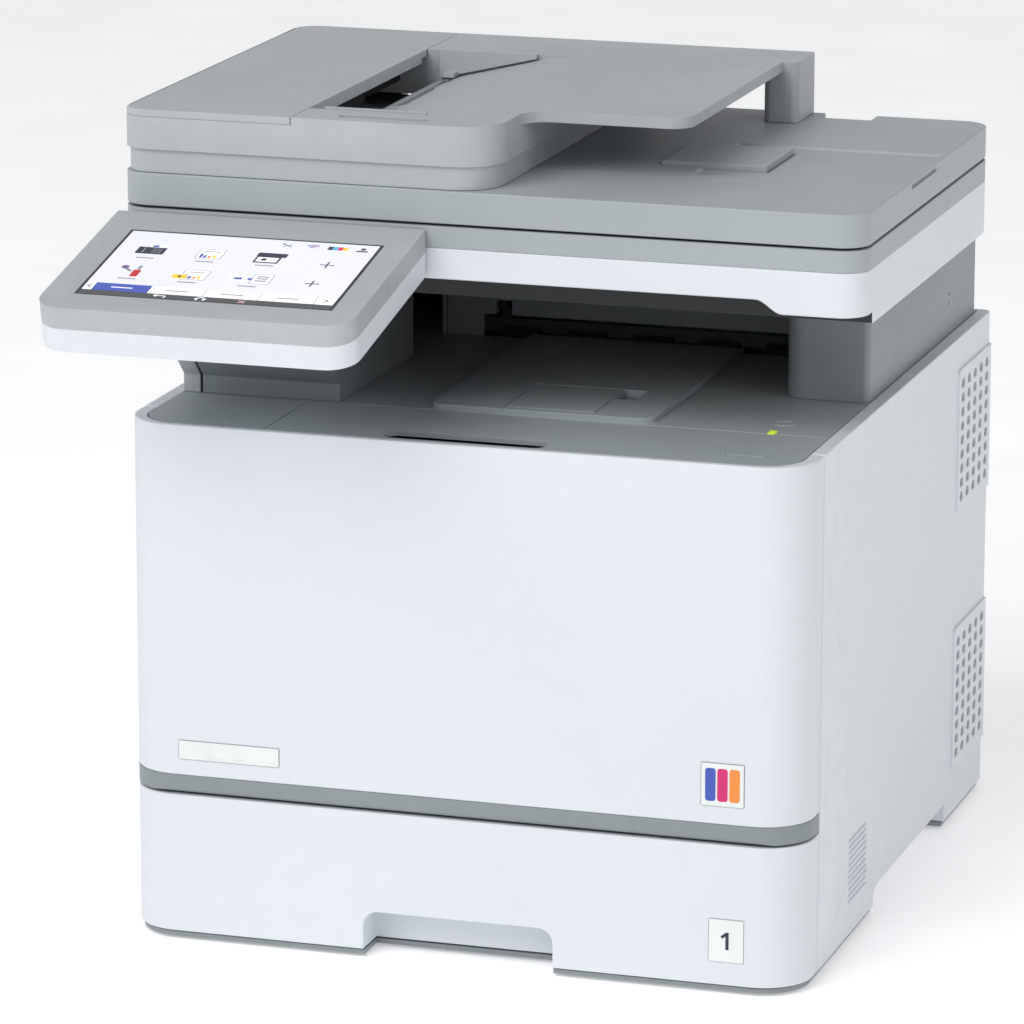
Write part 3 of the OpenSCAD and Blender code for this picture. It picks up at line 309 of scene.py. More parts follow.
def edge_wear() -> EffectGroup:
    """Lighter, rubbed edges.

    Returns:
        A group with a Colour output.
    """
    group = EffectGroup("edge_wear")
    colour = group.takes("Colour", "Color", (0.8, 0.8, 0.8, 1))
    rubbed = group.takes("Rubbed", "Color", (0.9, 0.9, 0.9, 1))
    amount = group.takes("Amount", "Float", 0.3)
    shape = group.node("ShaderNodeNewGeometry")
    ridge = group.ranged(shape.outputs["Pointiness"], 0.51, 0.60, 0.0, amount)
    breakup = group.noise(RUB_SCALE, 4.0)
    some = group.ranged(breakup.outputs["Fac"], 0.35, 0.6, 0.2, 1.0)
    share = group.product(ridge, some)
    group.gives("Colour", "Color", group.mixed(share, colour, rubbed))
    return group


def settled_dust() -> EffectGroup:
    """A thin uneven film of dust on faces that look up.

    Returns:
        A group with a Colour output.
    """
    group = EffectGroup("settled_dust")
    colour = group.takes("Colour", "Color", (0.8, 0.8, 0.8, 1))
    dust = group.takes("Dust", "Color", (0.6, 0.6, 0.6, 1))
    amount = group.takes("Amount", "Float", 0.08)
    coords = group.node("ShaderNodeTexCoord")
    split = group.node("ShaderNodeSeparateXYZ")
    group.link(coords.outputs["Normal"], split.inputs[0])
    up = group.ranged(split.outputs["Z"], 0.4, 1.0, 0.0, amount)
    patches = group.noise(DUST_SCALE, 5.0)
    some = group.ranged(patches.outputs["Fac"], 0.35, 0.7, 0.1, 1.0)
    film = group.product(up, some)
    group.gives("Colour", "Color", group.mixed(film, colour, dust))
    return group


def drawn_streaks() -> EffectGroup:
    """Fine streaks along one direction, as on rolled or ground metal.

    Returns:
        A group with Colour, Roughness and Height outputs.
    """
    group = EffectGroup("drawn_streaks")
    colour = group.takes("Colour", "Color", (0.6, 0.6, 0.6, 1))
    shaded = group.takes("Shaded", "Color", (0.5, 0.5, 0.5, 1))
    smooth = group.takes("Smooth", "Float", 0.25)
    rough = group.takes("Rough", "Float", 0.45)
    coords = group.node("ShaderNodeTexCoord")
    stretch = group.node("ShaderNodeMapping")
    stretch.inputs["Scale"].default_value = STREAK_STRETCH
    streak = group.node("ShaderNodeTexNoise")
    streak.inputs["Scale"].default_value = STREAK_SCALE
    streak.inputs["Detail"].default_value = 3.0
    group.link(coords.outputs["Object"], stretch.inputs["Vector"])
    group.link(stretch.outputs["Vector"], streak.inputs["Vector"])
    share = group.ranged(streak.outputs["Fac"], 0.35, 0.65, 0.0, 1.0)
    group.gives("Colour", "Color", group.mixed(share, colour, shaded))
    group.gives("Roughness", "Float", group.ranged(share, 0.0, 1.0, smooth, rough))
    group.gives("Height", "Float", streak.outputs["Fac"])
    return group


@dataclass(frozen=True)
class Effects:
    """The shared shader groups of every finish."""

    grain: EffectGroup
    wear: EffectGroup
    dust: EffectGroup
    streaks: EffectGroup


# ------------------------------------------------------------------ finishes


def faded(colour: Colour, share: float) -> Tuple[float, float, float, float]:
    """A colour scaled in brightness, with alpha.

    Args:
        colour: The colour in linear light.
        share: What it is multiplied by.

    Returns:
        Red, green, blue and alpha.
    """
    red, green, blue = (min(1.0, part * share) for part in colour)
    return red, green, blue, 1.0


@dataclass(frozen=True)
class Finish:
    """What every finish shares: its name, record slot, colour and material."""

    name: str
    slot: str
    colour: Colour

    def material(self, effects: Effects) -> bpy.types.Material:
        """The finish's material, made the first time it is asked for.

        Args:
            effects: The shared shader groups.

        Returns:
            The material.
        """
        found = bpy.data.materials.get(self.name)
        if found is not None:
            return found
        made = bpy.data.materials.new(self.name)
        made.use_nodes = True
        made.diffuse_color = (*self.colour, 1.0)
        self.wire(made.node_tree, made.node_tree.nodes["Principled BSDF"], effects)
        return made

    def wire(
        self, tree: bpy.types.NodeTree, shader: bpy.types.Node, effects: Effects
    ) -> None:
        """Wires the material's nodes.

        Args:
            tree: The material's nodes.
            shader: The surface shader.
            effects: The shared shader groups.
        """
        raise NotImplementedError

    @staticmethod
    def placed(
        tree: bpy.types.NodeTree, group: EffectGroup, **values: object
    ) -> bpy.types.Node:
        """Places a shared group in a material.

        Args:
            tree: The material's nodes.
            group: The shared group.
            **values: Values for its inputs.

        Returns:
            The group node.
        """
        made = tree.nodes.new("ShaderNodeGroup")
        made.node_tree = group.tree
        for key, value in values.items():
            made.inputs[key].default_value = value
        return made

    @staticmethod
    def bumped(
        tree: bpy.types.NodeTree,
        shader: bpy.types.Node,
        height: bpy.types.NodeSocket,
        strength: float,
        depth: float,
    ) -> None:
        """Feeds a height through a Bump node into the shader's normal.

        Args:
            tree: The material's nodes.
            shader: The surface shader.
            height: The height output.
            strength: How strong the bump is.
            depth: The height of the bump in millimetres.
        """
        bump = tree.nodes.new("ShaderNodeBump")
        bump.inputs["Strength"].default_value = strength
        bump.inputs["Distance"].default_value = depth * MM
        tree.links.new(height, bump.inputs["Height"])
        tree.links.new(bump.outputs["Normal"], shader.inputs["Normal"])


@dataclass(frozen=True)
class Moulded(Finish):
    """Moulded plastic with a fine spark-eroded grain."""

    shade: float = 0.95
    smooth: float = 0.38
    rough: float = 0.55
    grain: float = 1900.0
    depth: float = 0.05
    wear: float = 0.25
    dust: float = 0.06
    gloss: float = 0.5

    def wire(
        self, tree: bpy.types.NodeTree, shader: bpy.types.Node, effects: Effects
    ) -> None:
        """Grain, then rubbed edges, then dust."""
        grain = self.placed(
            tree,
            effects.grain,
            Colour=faded(self.colour, 1.0),
            Shaded=faded(self.colour, self.shade),
            Grain=self.grain,
            Smooth=self.smooth,
            Rough=self.rough,
        )
        wear = self.placed(
            tree, effects.wear, Rubbed=faded(self.colour, 1.25), Amount=self.wear
        )
        dust = self.placed(
            tree, effects.dust, Dust=DUST_TINT, Amount=self.dust
        )
        tree.links.new(grain.outputs["Colour"], wear.inputs["Colour"])
        tree.links.new(wear.outputs["Colour"], dust.inputs["Colour"])
        tree.links.new(dust.outputs["Colour"], shader.inputs["Base Color"])
        tree.links.new(grain.outputs["Roughness"], shader.inputs["Roughness"])
        shader.inputs["Specular IOR Level"].default_value = self.gloss
        self.bumped(tree, shader, grain.outputs["Height"], 0.35, self.depth)


@dataclass(frozen=True)
class Metal(Finish):
    """Sheet, rolled or plated metal."""

    smooth: float = 0.28
    rough: float = 0.5

    def wire(
        self, tree: bpy.types.NodeTree, shader: bpy.types.Node, effects: Effects
    ) -> None:
        """Drawn streaks in colour, roughness and height."""
        streaks = self.placed(
            tree,
            effects.streaks,
            Colour=faded(self.colour, 1.0),
            Shaded=faded(self.colour, 0.86),
            Smooth=self.smooth,
            Rough=self.rough,
        )
        shader.inputs["Metallic"].default_value = 1.0
        tree.links.new(streaks.outputs["Colour"], shader.inputs["Base Color"])
        tree.links.new(streaks.outputs["Roughness"], shader.inputs["Roughness"])
        self.bumped(tree, shader, streaks.outputs["Height"], 0.2, 0.02)


@dataclass(frozen=True)
class Glass(Finish):
    """Clear sheet glass with faint wiping marks."""

    def wire(
        self, tree: bpy.types.NodeTree, shader: bpy.types.Node, effects: Effects
    ) -> None:
        """A clear body whose roughness follows wiping marks."""
        wiped = self.placed(tree, effects.streaks, Smooth=0.01, Rough=0.06)
        shader.inputs["Base Color"].default_value = faded(self.colour, 1.0)
        shader.inputs["Transmission Weight"].default_value = 1.0
        shader.inputs["IOR"].default_value = 1.5
        tree.links.new(wiped.outputs["Roughness"], shader.inputs["Roughness"])


@dataclass(frozen=True)
class Printed(Finish):
    """A printed or lit mark: an even colour under a smooth clear coat."""

    rough: float = 0.3
    lit: float = 0.0

    def wire(
        self, tree: bpy.types.NodeTree, shader: bpy.types.Node, effects: Effects
    ) -> None:
        """A faintly uneven print, lit from behind where it glows."""
        print_ = self.placed(
            tree,
            effects.grain,
            Colour=faded(self.colour, 1.0),
            Shaded=faded(self.colour, 0.97),
            Grain=PRINT_GRAIN,
            Smooth=self.rough * 0.8,
            Rough=self.rough * 1.2,
        )
        tree.links.new(print_.outputs["Colour"], shader.inputs["Base Color"])
        tree.links.new(print_.outputs["Roughness"], shader.inputs["Roughness"])
        if self.lit:
            tree.links.new(print_.outputs["Colour"], shader.inputs["Emission Color"])
            shader.inputs["Emission Strength"].default_value = self.lit


WHITE = Moulded("cool_white_plastic", "body_white", linear(215, 219, 224), shade=0.985)
SILVER = Moulded("light_grey_plastic", "light_grey", linear(172, 177, 179), dust=0.1)
SLATE = Moulded("mid_grey_plastic", "mid_grey", linear(134, 141, 143), dust=0.1)
COVER = Moulded("cover_grey_plastic", "light_grey", linear(163, 169, 172), dust=0.1)
# A lit copy of the mid grey, as painted light: the deck and its small parts are the
# towers' grey, painted paler to make up for the shade they sit in.
SLATE_PAINTED_LIGHTER = Moulded("mid_grey_plastic_painted_lighter", "mid_grey", linear(158, 165, 167), dust=0.06)
SHADOW = Moulded(
    "black_plastic", "black_plastic", linear(34, 35, 37), wear=0.1, dust=0.03
)
RUBBER = Moulded(
    "black_rubber", "rubber", linear(38, 38, 39), smooth=0.7, rough=0.9, depth=0.12
)
STEEL = Metal("zinc_plated_sheet", "steel", linear(178, 180, 184))
CASTING = Metal("bare_casting", "cast_light", linear(186, 188, 190), smooth=0.4)
SLEEVE = Moulded("coated_roller", "roller_metal", linear(70, 70, 74), depth=0.02)
BOARD = Moulded("lacquered_green", "unit_green", linear(30, 96, 62), smooth=0.25)
TONER = Moulded("toner_case_plastic", "toner_case", linear(58, 59, 62))
BELT = Moulded(
    "belt_film", "belt_film", linear(24, 24, 26), smooth=0.08, rough=0.16, depth=0.01
)
PLATE = Moulded(
    "satin_plate", "badge_plate", linear(224, 229, 226), smooth=0.25, rough=0.35
)
PLATEN = Glass("float_glass", "clear_glass", (0.86, 0.93, 0.9))
BLACK_GLASS = Printed("display_border", "display_glass", linear(26, 27, 30), rough=0.12)
GLOW = Printed("lit_light_pipe", "light_pipe", linear(196, 222, 60), lit=0.5)


def marking(colour: Marking, slot: str, lit: float) -> Printed:
    """The finish of one marking colour.

    Args:
        colour: Which marking.
        slot: The record's slot it belongs to.
        lit: How strongly it glows.

    Returns:
        The finish.
    """
    kind = "lit" if lit else "printed"
    return Printed(
        f"{kind}_{colour.name.lower()}", slot, linear(*colour.value), lit=lit
    )


# ------------------------------------------------------------- mesh handling


def pick(*pieces: bpy.types.Object) -> None:
    """Deselects everything, then selects the pieces given.

    Args:
        *pieces: What is selected; the first is active.
    """
    bpy.ops.object.select_all(action="DESELECT")
    for piece in pieces:
        piece.select_set(True)
    bpy.context.view_layer.objects.active = pieces[0]


@contextmanager
def editing() -> Iterator[None]:
    """Edit mode on the active piece, then object mode again."""
    bpy.ops.object.mode_set(mode="EDIT")
    yield
    bpy.ops.object.mode_set(mode="OBJECT")


def choose(
    piece: bpy.types.Object, kind: str, test: Callable[[object], bool]
) -> None:
    """Selects faces or edges of a mesh by a test, ready for edit mode.

    Args:
        piece: The object, active and in object mode.
        kind: FACE or EDGE.
        test: Says which elements are selected.
    """
    mesh = piece.data
    for group in (mesh.vertices, mesh.edges, mesh.polygons):
        group.foreach_set("select", [False] * len(group))
    for item in mesh.polygons if kind == "FACE" else mesh.edges:
        item.select = bool(test(item))
    bpy.context.tool_settings.mesh_select_mode = (False, kind == "EDGE", kind == "FACE")


def upright(piece: bpy.types.Object) -> Callable[[object], bool]:
    """A test for edges that run along the local z axis.

    Args:
        piece: The object whose edges are tested.

    Returns:
        The test.
    """

    def along(edge: bpy.types.MeshEdge) -> bool:
        """Whether an edge is upright."""
        first, second = (piece.data.vertices[i].co for i in edge.vertices)
        return abs((first - second).normalized().z) > 0.99

    return along


class Sheet:
    """Thin raised shapes laid out on one flat face, joined by finish."""

    def __init__(self, place: Matrix, depth: float, effects: Effects) -> None:
        """Starts an empty sheet.

        Args:
            place: Takes sheet millimetres, u right and v up, into the frame.
            depth: The thickness of one layer, in millimetres.
            effects: The shared shader groups.
        """
        self.place = place
        self.depth = depth
        self.effects = effects
        self.parts: Dict[Finish, List[bpy.types.Object]] = {}

    def _keep(self, piece: bpy.types.Object, finish: Finish, turn: float) -> None:
        """Turns a part in the sheet's plane and moves it into the frame."""
        centre = piece.location.copy()
        piece.matrix_world = (
            self.place @ Matrix.Translation(centre) @ Matrix.Rotation(turn, 4, "Z")
        )
        pick(piece)
        bpy.ops.object.transform_apply(location=True, rotation=True, scale=True)
        self.parts.setdefault(finish, []).append(piece)

    def tile(
        self,
        finish: Finish,
        centre: Spot,
        size: Spot,
        layer: int = 0,
        corner: float = 0.0,
        turn: float = 0.0,
    ) -> None:
        """Adds a thin tile with rounded corners.

        Args:
            finish: Its finish.
            centre: Its centre on the sheet.
            size: Its width and height.
            layer: How many layers it lies above the face.
            corner: Its corner radius, or a tenth of its short side.
            turn: Its turn in the plane, in degrees.
        """
        bpy.ops.object.select_all(action="DESELECT")
        bpy.ops.mesh.primitive_cube_add(
            size=1, location=(*centre, (layer + 0.5) * self.depth)
        )
        piece = bpy.context.object
        for vertex in piece.data.vertices:
            vertex.co.x *= size[0]
            vertex.co.y *= size[1]
            vertex.co.z *= self.depth
        choose(piece, "EDGE", upright(piece))
        radius = min(corner or min(size) * 0.1, min(size) * 0.49)
        with editing():
            bpy.ops.mesh.bevel(offset=radius, segments=3, affect="EDGES")
        self._keep(piece, finish, math.radians(turn))

    def disc(
        self,
        finish: Finish,
        centre: Spot,
        radius: float,
        layer: int = 0,
    ) -> None:
        """Adds a thin disc with a rounded rim.

        Args:
            finish: Its finish.
            centre: Its centre on the sheet.
            radius: Its radius.
            layer: How many layers it lies above the face.
        """
        bpy.ops.object.select_all(action="DESELECT")
        bpy.ops.mesh.primitive_cylinder_add(
            vertices=32,
            radius=radius,
            depth=self.depth,
            location=(*centre, (layer + 0.5) * self.depth),
        )
        piece = bpy.context.object
        choose(piece, "FACE", lambda face: face.normal.z > FACES_UP)
        with editing():
            bpy.ops.mesh.bevel(offset=self.depth * 0.3, segments=1, affect="EDGES")
        self._keep(piece, finish, 0.0)

    def arc(
        self,
        finish: Finish,
        centre: Spot,
        radius: float,
        width: float,
        sweep: Spot,
        layer: int = 0,
    ) -> None:
        """Adds a curved bar by spinning its section.

        Args:
            finish: Its finish.
            centre: The centre of the arc.
            radius: The arc's middle radius.
            width: The bar's width.
            sweep: First and last angle, in degrees.
            layer: How many layers it lies above the face.
        """
        bpy.ops.object.select_all(action="DESELECT")
        bpy.ops.mesh.primitive_plane_add(size=1, location=(0, 0, 0))
        piece = bpy.context.object
        for vertex in piece.data.vertices:
            across, along = vertex.co.x, vertex.co.y
            vertex.co = (radius + across * width, 0, along * self.depth)
        choose(piece, "FACE", lambda face: True)
        turn = math.radians(sweep[0] - sweep[1])
        with editing():
            bpy.ops.mesh.spin(steps=10, angle=turn, center=(0, 0, 0), axis=(0, 0, 1))
            bpy.ops.mesh.select_all(action="SELECT")
            bpy.ops.mesh.normals_make_consistent(inside=False)
        piece.location = (*centre, (layer + 0.5) * self.depth)
        self._keep(piece, finish, math.radians(sweep[0]))

    def finish(self, stem: str, body: str) -> List[bpy.types.Object]:
        """Joins the sheet's parts into one piece for each finish.

        Args:
            stem: How the pieces' names begin.
            body: The body they ride on.

        Returns:
            The pieces.
        """
        made = []
        for finish, parts in self.parts.items():
            pick(*parts)
            if len(parts) > 1:
                bpy.ops.object.join()
            piece = parts[0]
            piece.name = f"{stem}_{finish.name}"
            dress(piece, finish, self.effects)
            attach(piece, body)
            made.append(piece)
        LOG.info("%s: %d finishes on %s", stem, len(made), body)
        return made


def dress(piece: bpy.types.Object, finish: Finish, effects: Effects) -> None:
    """Gives a piece one finish.

    Args:
        piece: The piece.
        finish: Its finish.
        effects: The shared shader groups.
    """
    material = finish.material(effects)
    if not piece.material_slots:
        piece.data.materials.append(material)
    for slot in piece.material_slots:
        slot.material = material


def face_matrix(axis: Axis, origin: Tuple[float, float, float]) -> Matrix:
    """Takes sheet millimetres onto a face of the frame.

    Args:
        axis: The way the face looks.
        origin: The sheet's origin in the frame, in metres.

    Returns:
        The matrix.
    """
    columns = {
        Axis.UP: ((1, 0, 0), (0, 1, 0), (0, 0, 1)),
        Axis.FRONT: ((1, 0, 0), (0, 0, 1), (0, -1, 0)),
    }[axis]
    matrix = Matrix([[columns[c][r] for c in range(3)] for r in range(3)]).to_4x4()
    return Matrix.Translation(origin) @ matrix @ Matrix.Scale(MM, 4)


# --------------------------------------------------------- moulded housings


@dataclass(frozen=True)
class Moulding:
    """A housing whose sharp corners are broken as a mould breaks them.

    Attributes:
        node: The CAD node it stands for.
        finish: Its finish.
        edge: The width of the broken edges.
        segments: How many facets round an edge.
        inner: A dark finish painted on the part of it that lies in shade, as painted
            shade.
        painted_shade_box: The lowest and highest corner of that painted-shade part.
    """

    node: str
    finish: Finish
    edge: float = 0.6
    segments: int = 2
    inner: Optional[Finish] = None
    painted_shade_box: Tuple[Sequence[float], Sequence[float]] = ((0, 0, 0), (0, 0, 0))

    def build(self, effects: Effects) -> bpy.types.Object:
        """Copies the node, merges it and rounds its edges.

        Args:
            effects: The shared shader groups.

        Returns:
            The housing.
        """
        cad = FRAME["nodes"][self.node]
        piece = bpy.data.objects.new(f"{self.node}_moulding", cad.data.copy())
        bpy.context.scene.collection.objects.link(piece)
        pick(piece)
        if piece.data.has_custom_normals:
            bpy.ops.mesh.customdata_custom_splitnormals_clear()
        with editing():
            bpy.context.tool_settings.mesh_select_mode = (True, False, False)
            bpy.ops.mesh.select_all(action="SELECT")
            bpy.ops.mesh.remove_doubles(threshold=MERGE_GAP)
            bpy.ops.mesh.dissolve_limited(angle_limit=FLAT_ANGLE)
        width = self._break_edges(piece)
        bpy.ops.object.shade_smooth_by_angle(angle=SMOOTH_ANGLE)
        flats = piece.modifiers.new("flat_faces", "WEIGHTED_NORMAL")
        flats.keep_sharp = True
        bpy.ops.object.modifier_apply(modifier=flats.name)
        dress(piece, self.finish, effects)
        # Faces that lie in shade get a dark finish, as painted shade.
        if self.inner is not None:
            self._paint_shade(piece, effects)
        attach(piece, cad["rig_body"])
        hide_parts(self.node)
        LOG.info(
            "%s: edges %.2f mm, %d faces", piece.name, width, len(piece.data.polygons)
        )
        return piece

    def _paint_shade(self, piece: bpy.types.Object, effects: Effects) -> None:
        """Paints shade: the faces inside the shade box get the dark inner finish, as
        painted shade.

        Args:
            piece: The housing.
            effects: The shared shader groups.
        """
        piece.data.materials.append(self.inner.material(effects))
        low, high = self.painted_shade_box
        for face in piece.data.polygons:
            spot = face.center / MM
            if all(a <= part <= b for a, part, b in zip(low, spot, high)):
                face.material_index = 1

    def _break_edges(self, piece: bpy.types.Object) -> float:
        """Rounds the sharp edges, by less where a full radius would not fit.

        Args:
            piece: The merged copy, active and in object mode.

        Returns:
            The width used, in millimetres.
        """
        surface = BVHTree.FromObject(piece, bpy.context.evaluated_depsgraph_get())
        sharp = piece.data.copy()
        for share in EDGE_SHARES:
            width = self.edge * share
            rounding = piece.modifiers.new("broken_edges", "BEVEL")
            rounding.width = width * MM
            rounding.segments = self.segments
            rounding.limit_method = "ANGLE"
            rounding.angle_limit = SHARP_ANGLE
            rounding.use_clamp_overlap = False
            bpy.ops.object.modifier_apply(modifier=rounding.name)
            strays = max(
                surface.find_nearest(vertex.co)[3] for vertex in piece.data.vertices
            )
            if strays <= max(0.9 * width, 0.05) * MM:
                return width
            piece.data = sharp.copy()
        return 0.0


@dataclass
class Housings:
    """Every outer moulding, and the plain finishes of the inner parts."""

    mouldings: Sequence[Moulding] = (
        Moulding("left_side_cover", WHITE, 0.5, 1),
        Moulding("right_side_cover", WHITE, 0.5, 1),
        Moulding("rear_panel", WHITE, 0.6),
        Moulding("rear_door", WHITE, 0.8),
        Moulding("front_cover", WHITE, 1.0, 3),
        Moulding("front_band", SLATE, 0.5),
        Moulding("drawer_front", WHITE, 0.9, 3),
        Moulding("drawer_number_plate", PLATE, 0.15),
        Moulding("front_badges", PLATE, 0.12),
        # The deck parts take the painted-lighter copy of the mid grey, as painted
        # light.
        Moulding("top_deck", SLATE_PAINTED_LIGHTER, 0.35),
        Moulding("power_panel", SLATE_PAINTED_LIGHTER, 0.4),
        Moulding("power_button", SLATE_PAINTED_LIGHTER, 0.3),
        Moulding("cover_release_button", SLATE_PAINTED_LIGHTER, 0.5),
        Moulding("paper_stop", SLATE_PAINTED_LIGHTER, 0.5),
        Moulding("left_tower", SLATE, 0.8),
        Moulding("left_tower_cover", SILVER, 0.8),
        Moulding("right_tower", SLATE, 0.8),
        Moulding("rear_riser", SLATE, 0.5),
        # The recessed underside behind the scanner's front lip gets black plastic as
        # painted shade, standing in for the shadow there.
        Moulding(
            "scanner_base",
            WHITE,
            0.9,
            3,
            SHADOW,
            ((-221, -160, 380), (221, 136.5, 396)),
        ),
        Moulding("scanner_trim", COVER, 0.5),
        Moulding("platen_cover", COVER, 0.9, 3),
        Moulding("feeder_body", SILVER, 0.8, 3),
        Moulding("feeder_lid", SILVER, 0.6),
        Moulding("feeder_guide_front", SILVER, 0.3),
        Moulding("feeder_guide_rear", SILVER, 0.3),
        Moulding("output_stop", COVER, 0.6),
        Moulding("panel_bezel", SILVER, 0.7, 3),
        Moulding("panel_lower_case", WHITE, 0.7, 3),
        Moulding("base_frame", SLATE, 0.4),
        Moulding("feet", RUBBER, 0.3),
        Moulding("drawer_tray", SHADOW, 0.4),
    )
    inner: Sequence[Tuple[Finish, Tuple[str, ...]]] = (
        (STEEL, ("engine_frame", "scanner_steelwork", "lift_plate", "screws")),
        (PLATEN, ("platen_glass",)),
        (SHADOW, ("laser_unit", "fuser_housing", "fan_housing", "fan_rotor")),
        (SHADOW, ("rear_sockets", "exit_flag", "scan_carriage")),
        (BOARD, ("drum_unit", "main_board")),
        (TONER, ("toner_cartridges",)),
        (BELT, ("transfer_belt",)),
        (CASTING, ("power_supply", "drive_unit")),
        (GLOW, ("status_light",)),
        (SLATE, ("front_liner", "side_guide_left", "side_guide_right", "rear_guide")),
        (BLACK_GLASS, ("display_glass",)),
        (RUBBER, ("pickup_roller", "pressure_roller", "exit_roller", "feed_roller")),
        (SLEEVE, ("heat_roller",)),
    )

    def build(self, effects: Effects) -> None:
        """Makes the mouldings and dresses the nodes that stay."""
        for moulding in self.mouldings:
            moulding.build(effects)
        for finish, nodes in self.inner:
            for node in nodes:
                dress(FRAME["nodes"][node], finish, effects)


# ------------------------------------------------------------- the display


@dataclass(frozen=True)
class Tile:
    """A rounded tile of a picture, placed from the picture's centre."""

    ink: Marking
    shift: Spot
    size: Spot
    layer: int = 1
    corner: float = 0.0
    turn: float = 0.0

    def lay(self, sheet: Sheet, at: Spot, finish: Printed) -> None:
        """Adds the tile to a sheet."""
        spot = (at[0] + self.shift[0], at[1] + self.shift[1])
        sheet.tile(finish, spot, self.size, self.layer, self.corner, self.turn)


@dataclass(frozen=True)
class Disc:
    """A disc of a picture, placed from the picture's centre."""

    ink: Marking
    shift: Spot
    radius: float
    layer: int = 1

    def lay(self, sheet: Sheet, at: Spot, finish: Printed) -> None:
        """Adds the disc to a sheet."""
        spot = (at[0] + self.shift[0], at[1] + self.shift[1])
        sheet.disc(finish, spot, self.radius, self.layer)


@dataclass(frozen=True)
class Arc:
    """A curved bar of a picture, placed from the picture's centre."""

    ink: Marking
    shift: Spot
    radius: float
    width: float
    sweep: Spot
    layer: int = 1

    def lay(self, sheet: Sheet, at: Spot, finish: Printed) -> None:
        """Adds the arc to a sheet."""
        spot = (at[0] + self.shift[0], at[1] + self.shift[1])
        sheet.arc(finish, spot, self.radius, self.width, self.sweep, self.layer)


M = Marking  # a short name for the tables below
COPY_PICTURE = (
    Tile(M.INK, (0, 0), (17.0, 9.6), 1, 0.8),
    Tile(M.PAPER, (2.6, 6.2), (9.6, 4.2), 1, 0.4),
    Tile(M.BLUE, (1.0, 6.4), (3.6, 2.4), 2),
    *(
        Tile(M.GREY, (1.6 + 2.0 * column, -2.4 + 2.4 * row), (1.1, 1.3), 2)
        for row in range(3)
        for column in range(3)
    ),
    Tile(M.GREY, (-4.4, 0), (0.7, 8.4), 2),
)
PAGE_PICTURE = (
    Tile(M.LINE, (0, 0), (15.4, 13.4), 1, 0.6),
    Tile(M.PAPER, (0, 0), (14.6, 12.6), 2, 0.5),
    Tile(M.BLUE, (-4.6, -2.8), (1.7, 5.2), 3, 0.2),
    Tile(M.BLUE, (-2.2, -3.7), (1.7, 3.4), 3, 0.2),
    Tile(M.ORANGE, (0.6, -3.9), (1.7, 3.0), 3, 0.2),
    Tile(M.SUN, (3.4, -3.3), (1.7, 4.2), 3, 0.2),
    Tile(M.GREY, (0, 3.6), (9.6, 0.9), 3, 0.3),
)
SCAN_PICTURE = (
    Tile(M.INK, (0, 4.4), (17.8, 5.4), 1, 0.9),
    Tile(M.INK, (-1.0, -2.6), (15.0, 9.0), 1, 0.8),
    Tile(M.PAPER, (-1.0, -2.4), (12.6, 6.4), 2, 0.4),
    Disc(M.INK, (-3.0, -2.4), 1.7, 3),
    Tile(M.GREY, (2.4, -2.4), (3.4, 0.8), 3),
)
PLUS_PICTURE = (
    Tile(M.INK, (0, 0), (8.6, 0.9), 1, 0.2),
    Tile(M.INK, (0, 0), (0.9, 8.6), 2, 0.2),
)
TOOL_PICTURE = (
    Tile(M.GREY, (-4.4, 2.6), (9.0, 2.0), 1, 0.8, -42),
    Disc(M.PLUM, (-6.4, 5.4), 2.3),
    Tile(M.RED, (2.4, -2.6), (4.6, 9.6), 1, 1.2),
    Tile(M.GREY, (2.4, 5.4), (2.0, 5.4), 1, 0.5),
)
TAG_PICTURE = (
    Tile(M.SUN, (-6.8, -3.2), (8.6, 5.2), 4, 1.2),
    Disc(M.INK, (-6.8, -3.2), 1.2, 5),
)
LIST_PICTURE = (
    Tile(M.LINE, (5.4, 0), (11.6, 13.4), 1, 0.6),
    Tile(M.PAPER, (5.4, 0), (10.8, 12.6), 2, 0.5),
    *(Tile(M.GREY, (5.4, up), (7.0, 1.5), 3, 0.3) for up in (3.4, 0.6, -2.4)),
    Tile(M.PAPER, (-8.0, -0.6), (9.6, 6.4), 1, 0.5),
    Tile(M.BLUE, (-8.6, -0.6), (4.8, 2.6), 2),
    Tile(M.BLUE, (-1.6, -0.6), (2.4, 2.4), 4, 0.2, 45),
)
CAPTION = (Tile(M.LINE, (0, -10.6), (11.0, 1.1)),)
STATUS_MARKS = (
    *(Tile(M.GREY, (98.3, 0), (6.4, 0.9), 1, 0.4, turn) for turn in (35, -35)),
    Disc(M.GREY, (95.6, 1.9), 1.1),
    *(Arc(M.PLUM, (113.4, -2.2), size, 0.9, (45, 135)) for size in (1.6, 3.4, 5.2)),
    *(
        Tile(ink, (124.2 + 3.0 * index, 0), (2.9, 4.6), 1, 0.2)
        for index, ink in enumerate((M.INK, M.SKY, M.ROSE, M.SUN))
    ),
    Disc(M.INK, (143.6, 1.3), 1.5),
    Tile(M.INK, (143.6, -1.8), (7.0, 1.7), 1, 0.8),
)
BACK_KEY = (
    Tile(M.PAPER, (0.6, 0.9), (5.2, 0.8), 1, 0.3),
    Arc(M.PAPER, (3.0, -0.2), 1.1, 0.8, (-90, 90)),
    Tile(M.PAPER, (-2.2, 1.5), (2.6, 0.8), 1, 0.3, 40),
    Tile(M.PAPER, (-2.2, 0.3), (2.6, 0.8), 1, 0.3, -40),
)
HOME_KEY = (
    Tile(M.PAPER, (1.7, 1.0), (4.6, 0.9), 1, 0.3, -38),
    Tile(M.PAPER, (2.1, -0.9), (1.0, 2.4), 1, 0.2),
    Tile(M.PAPER, (-1.7, 1.0), (4.6, 0.9), 1, 0.3, 38),
    Tile(M.PAPER, (-2.1, -0.9), (1.0, 2.4), 1, 0.2),
)
STOP_KEY = tuple(Tile(M.BLUSH, (0, 0), (5.2, 0.8), 1, 0.3, turn) for turn in (42, -42))


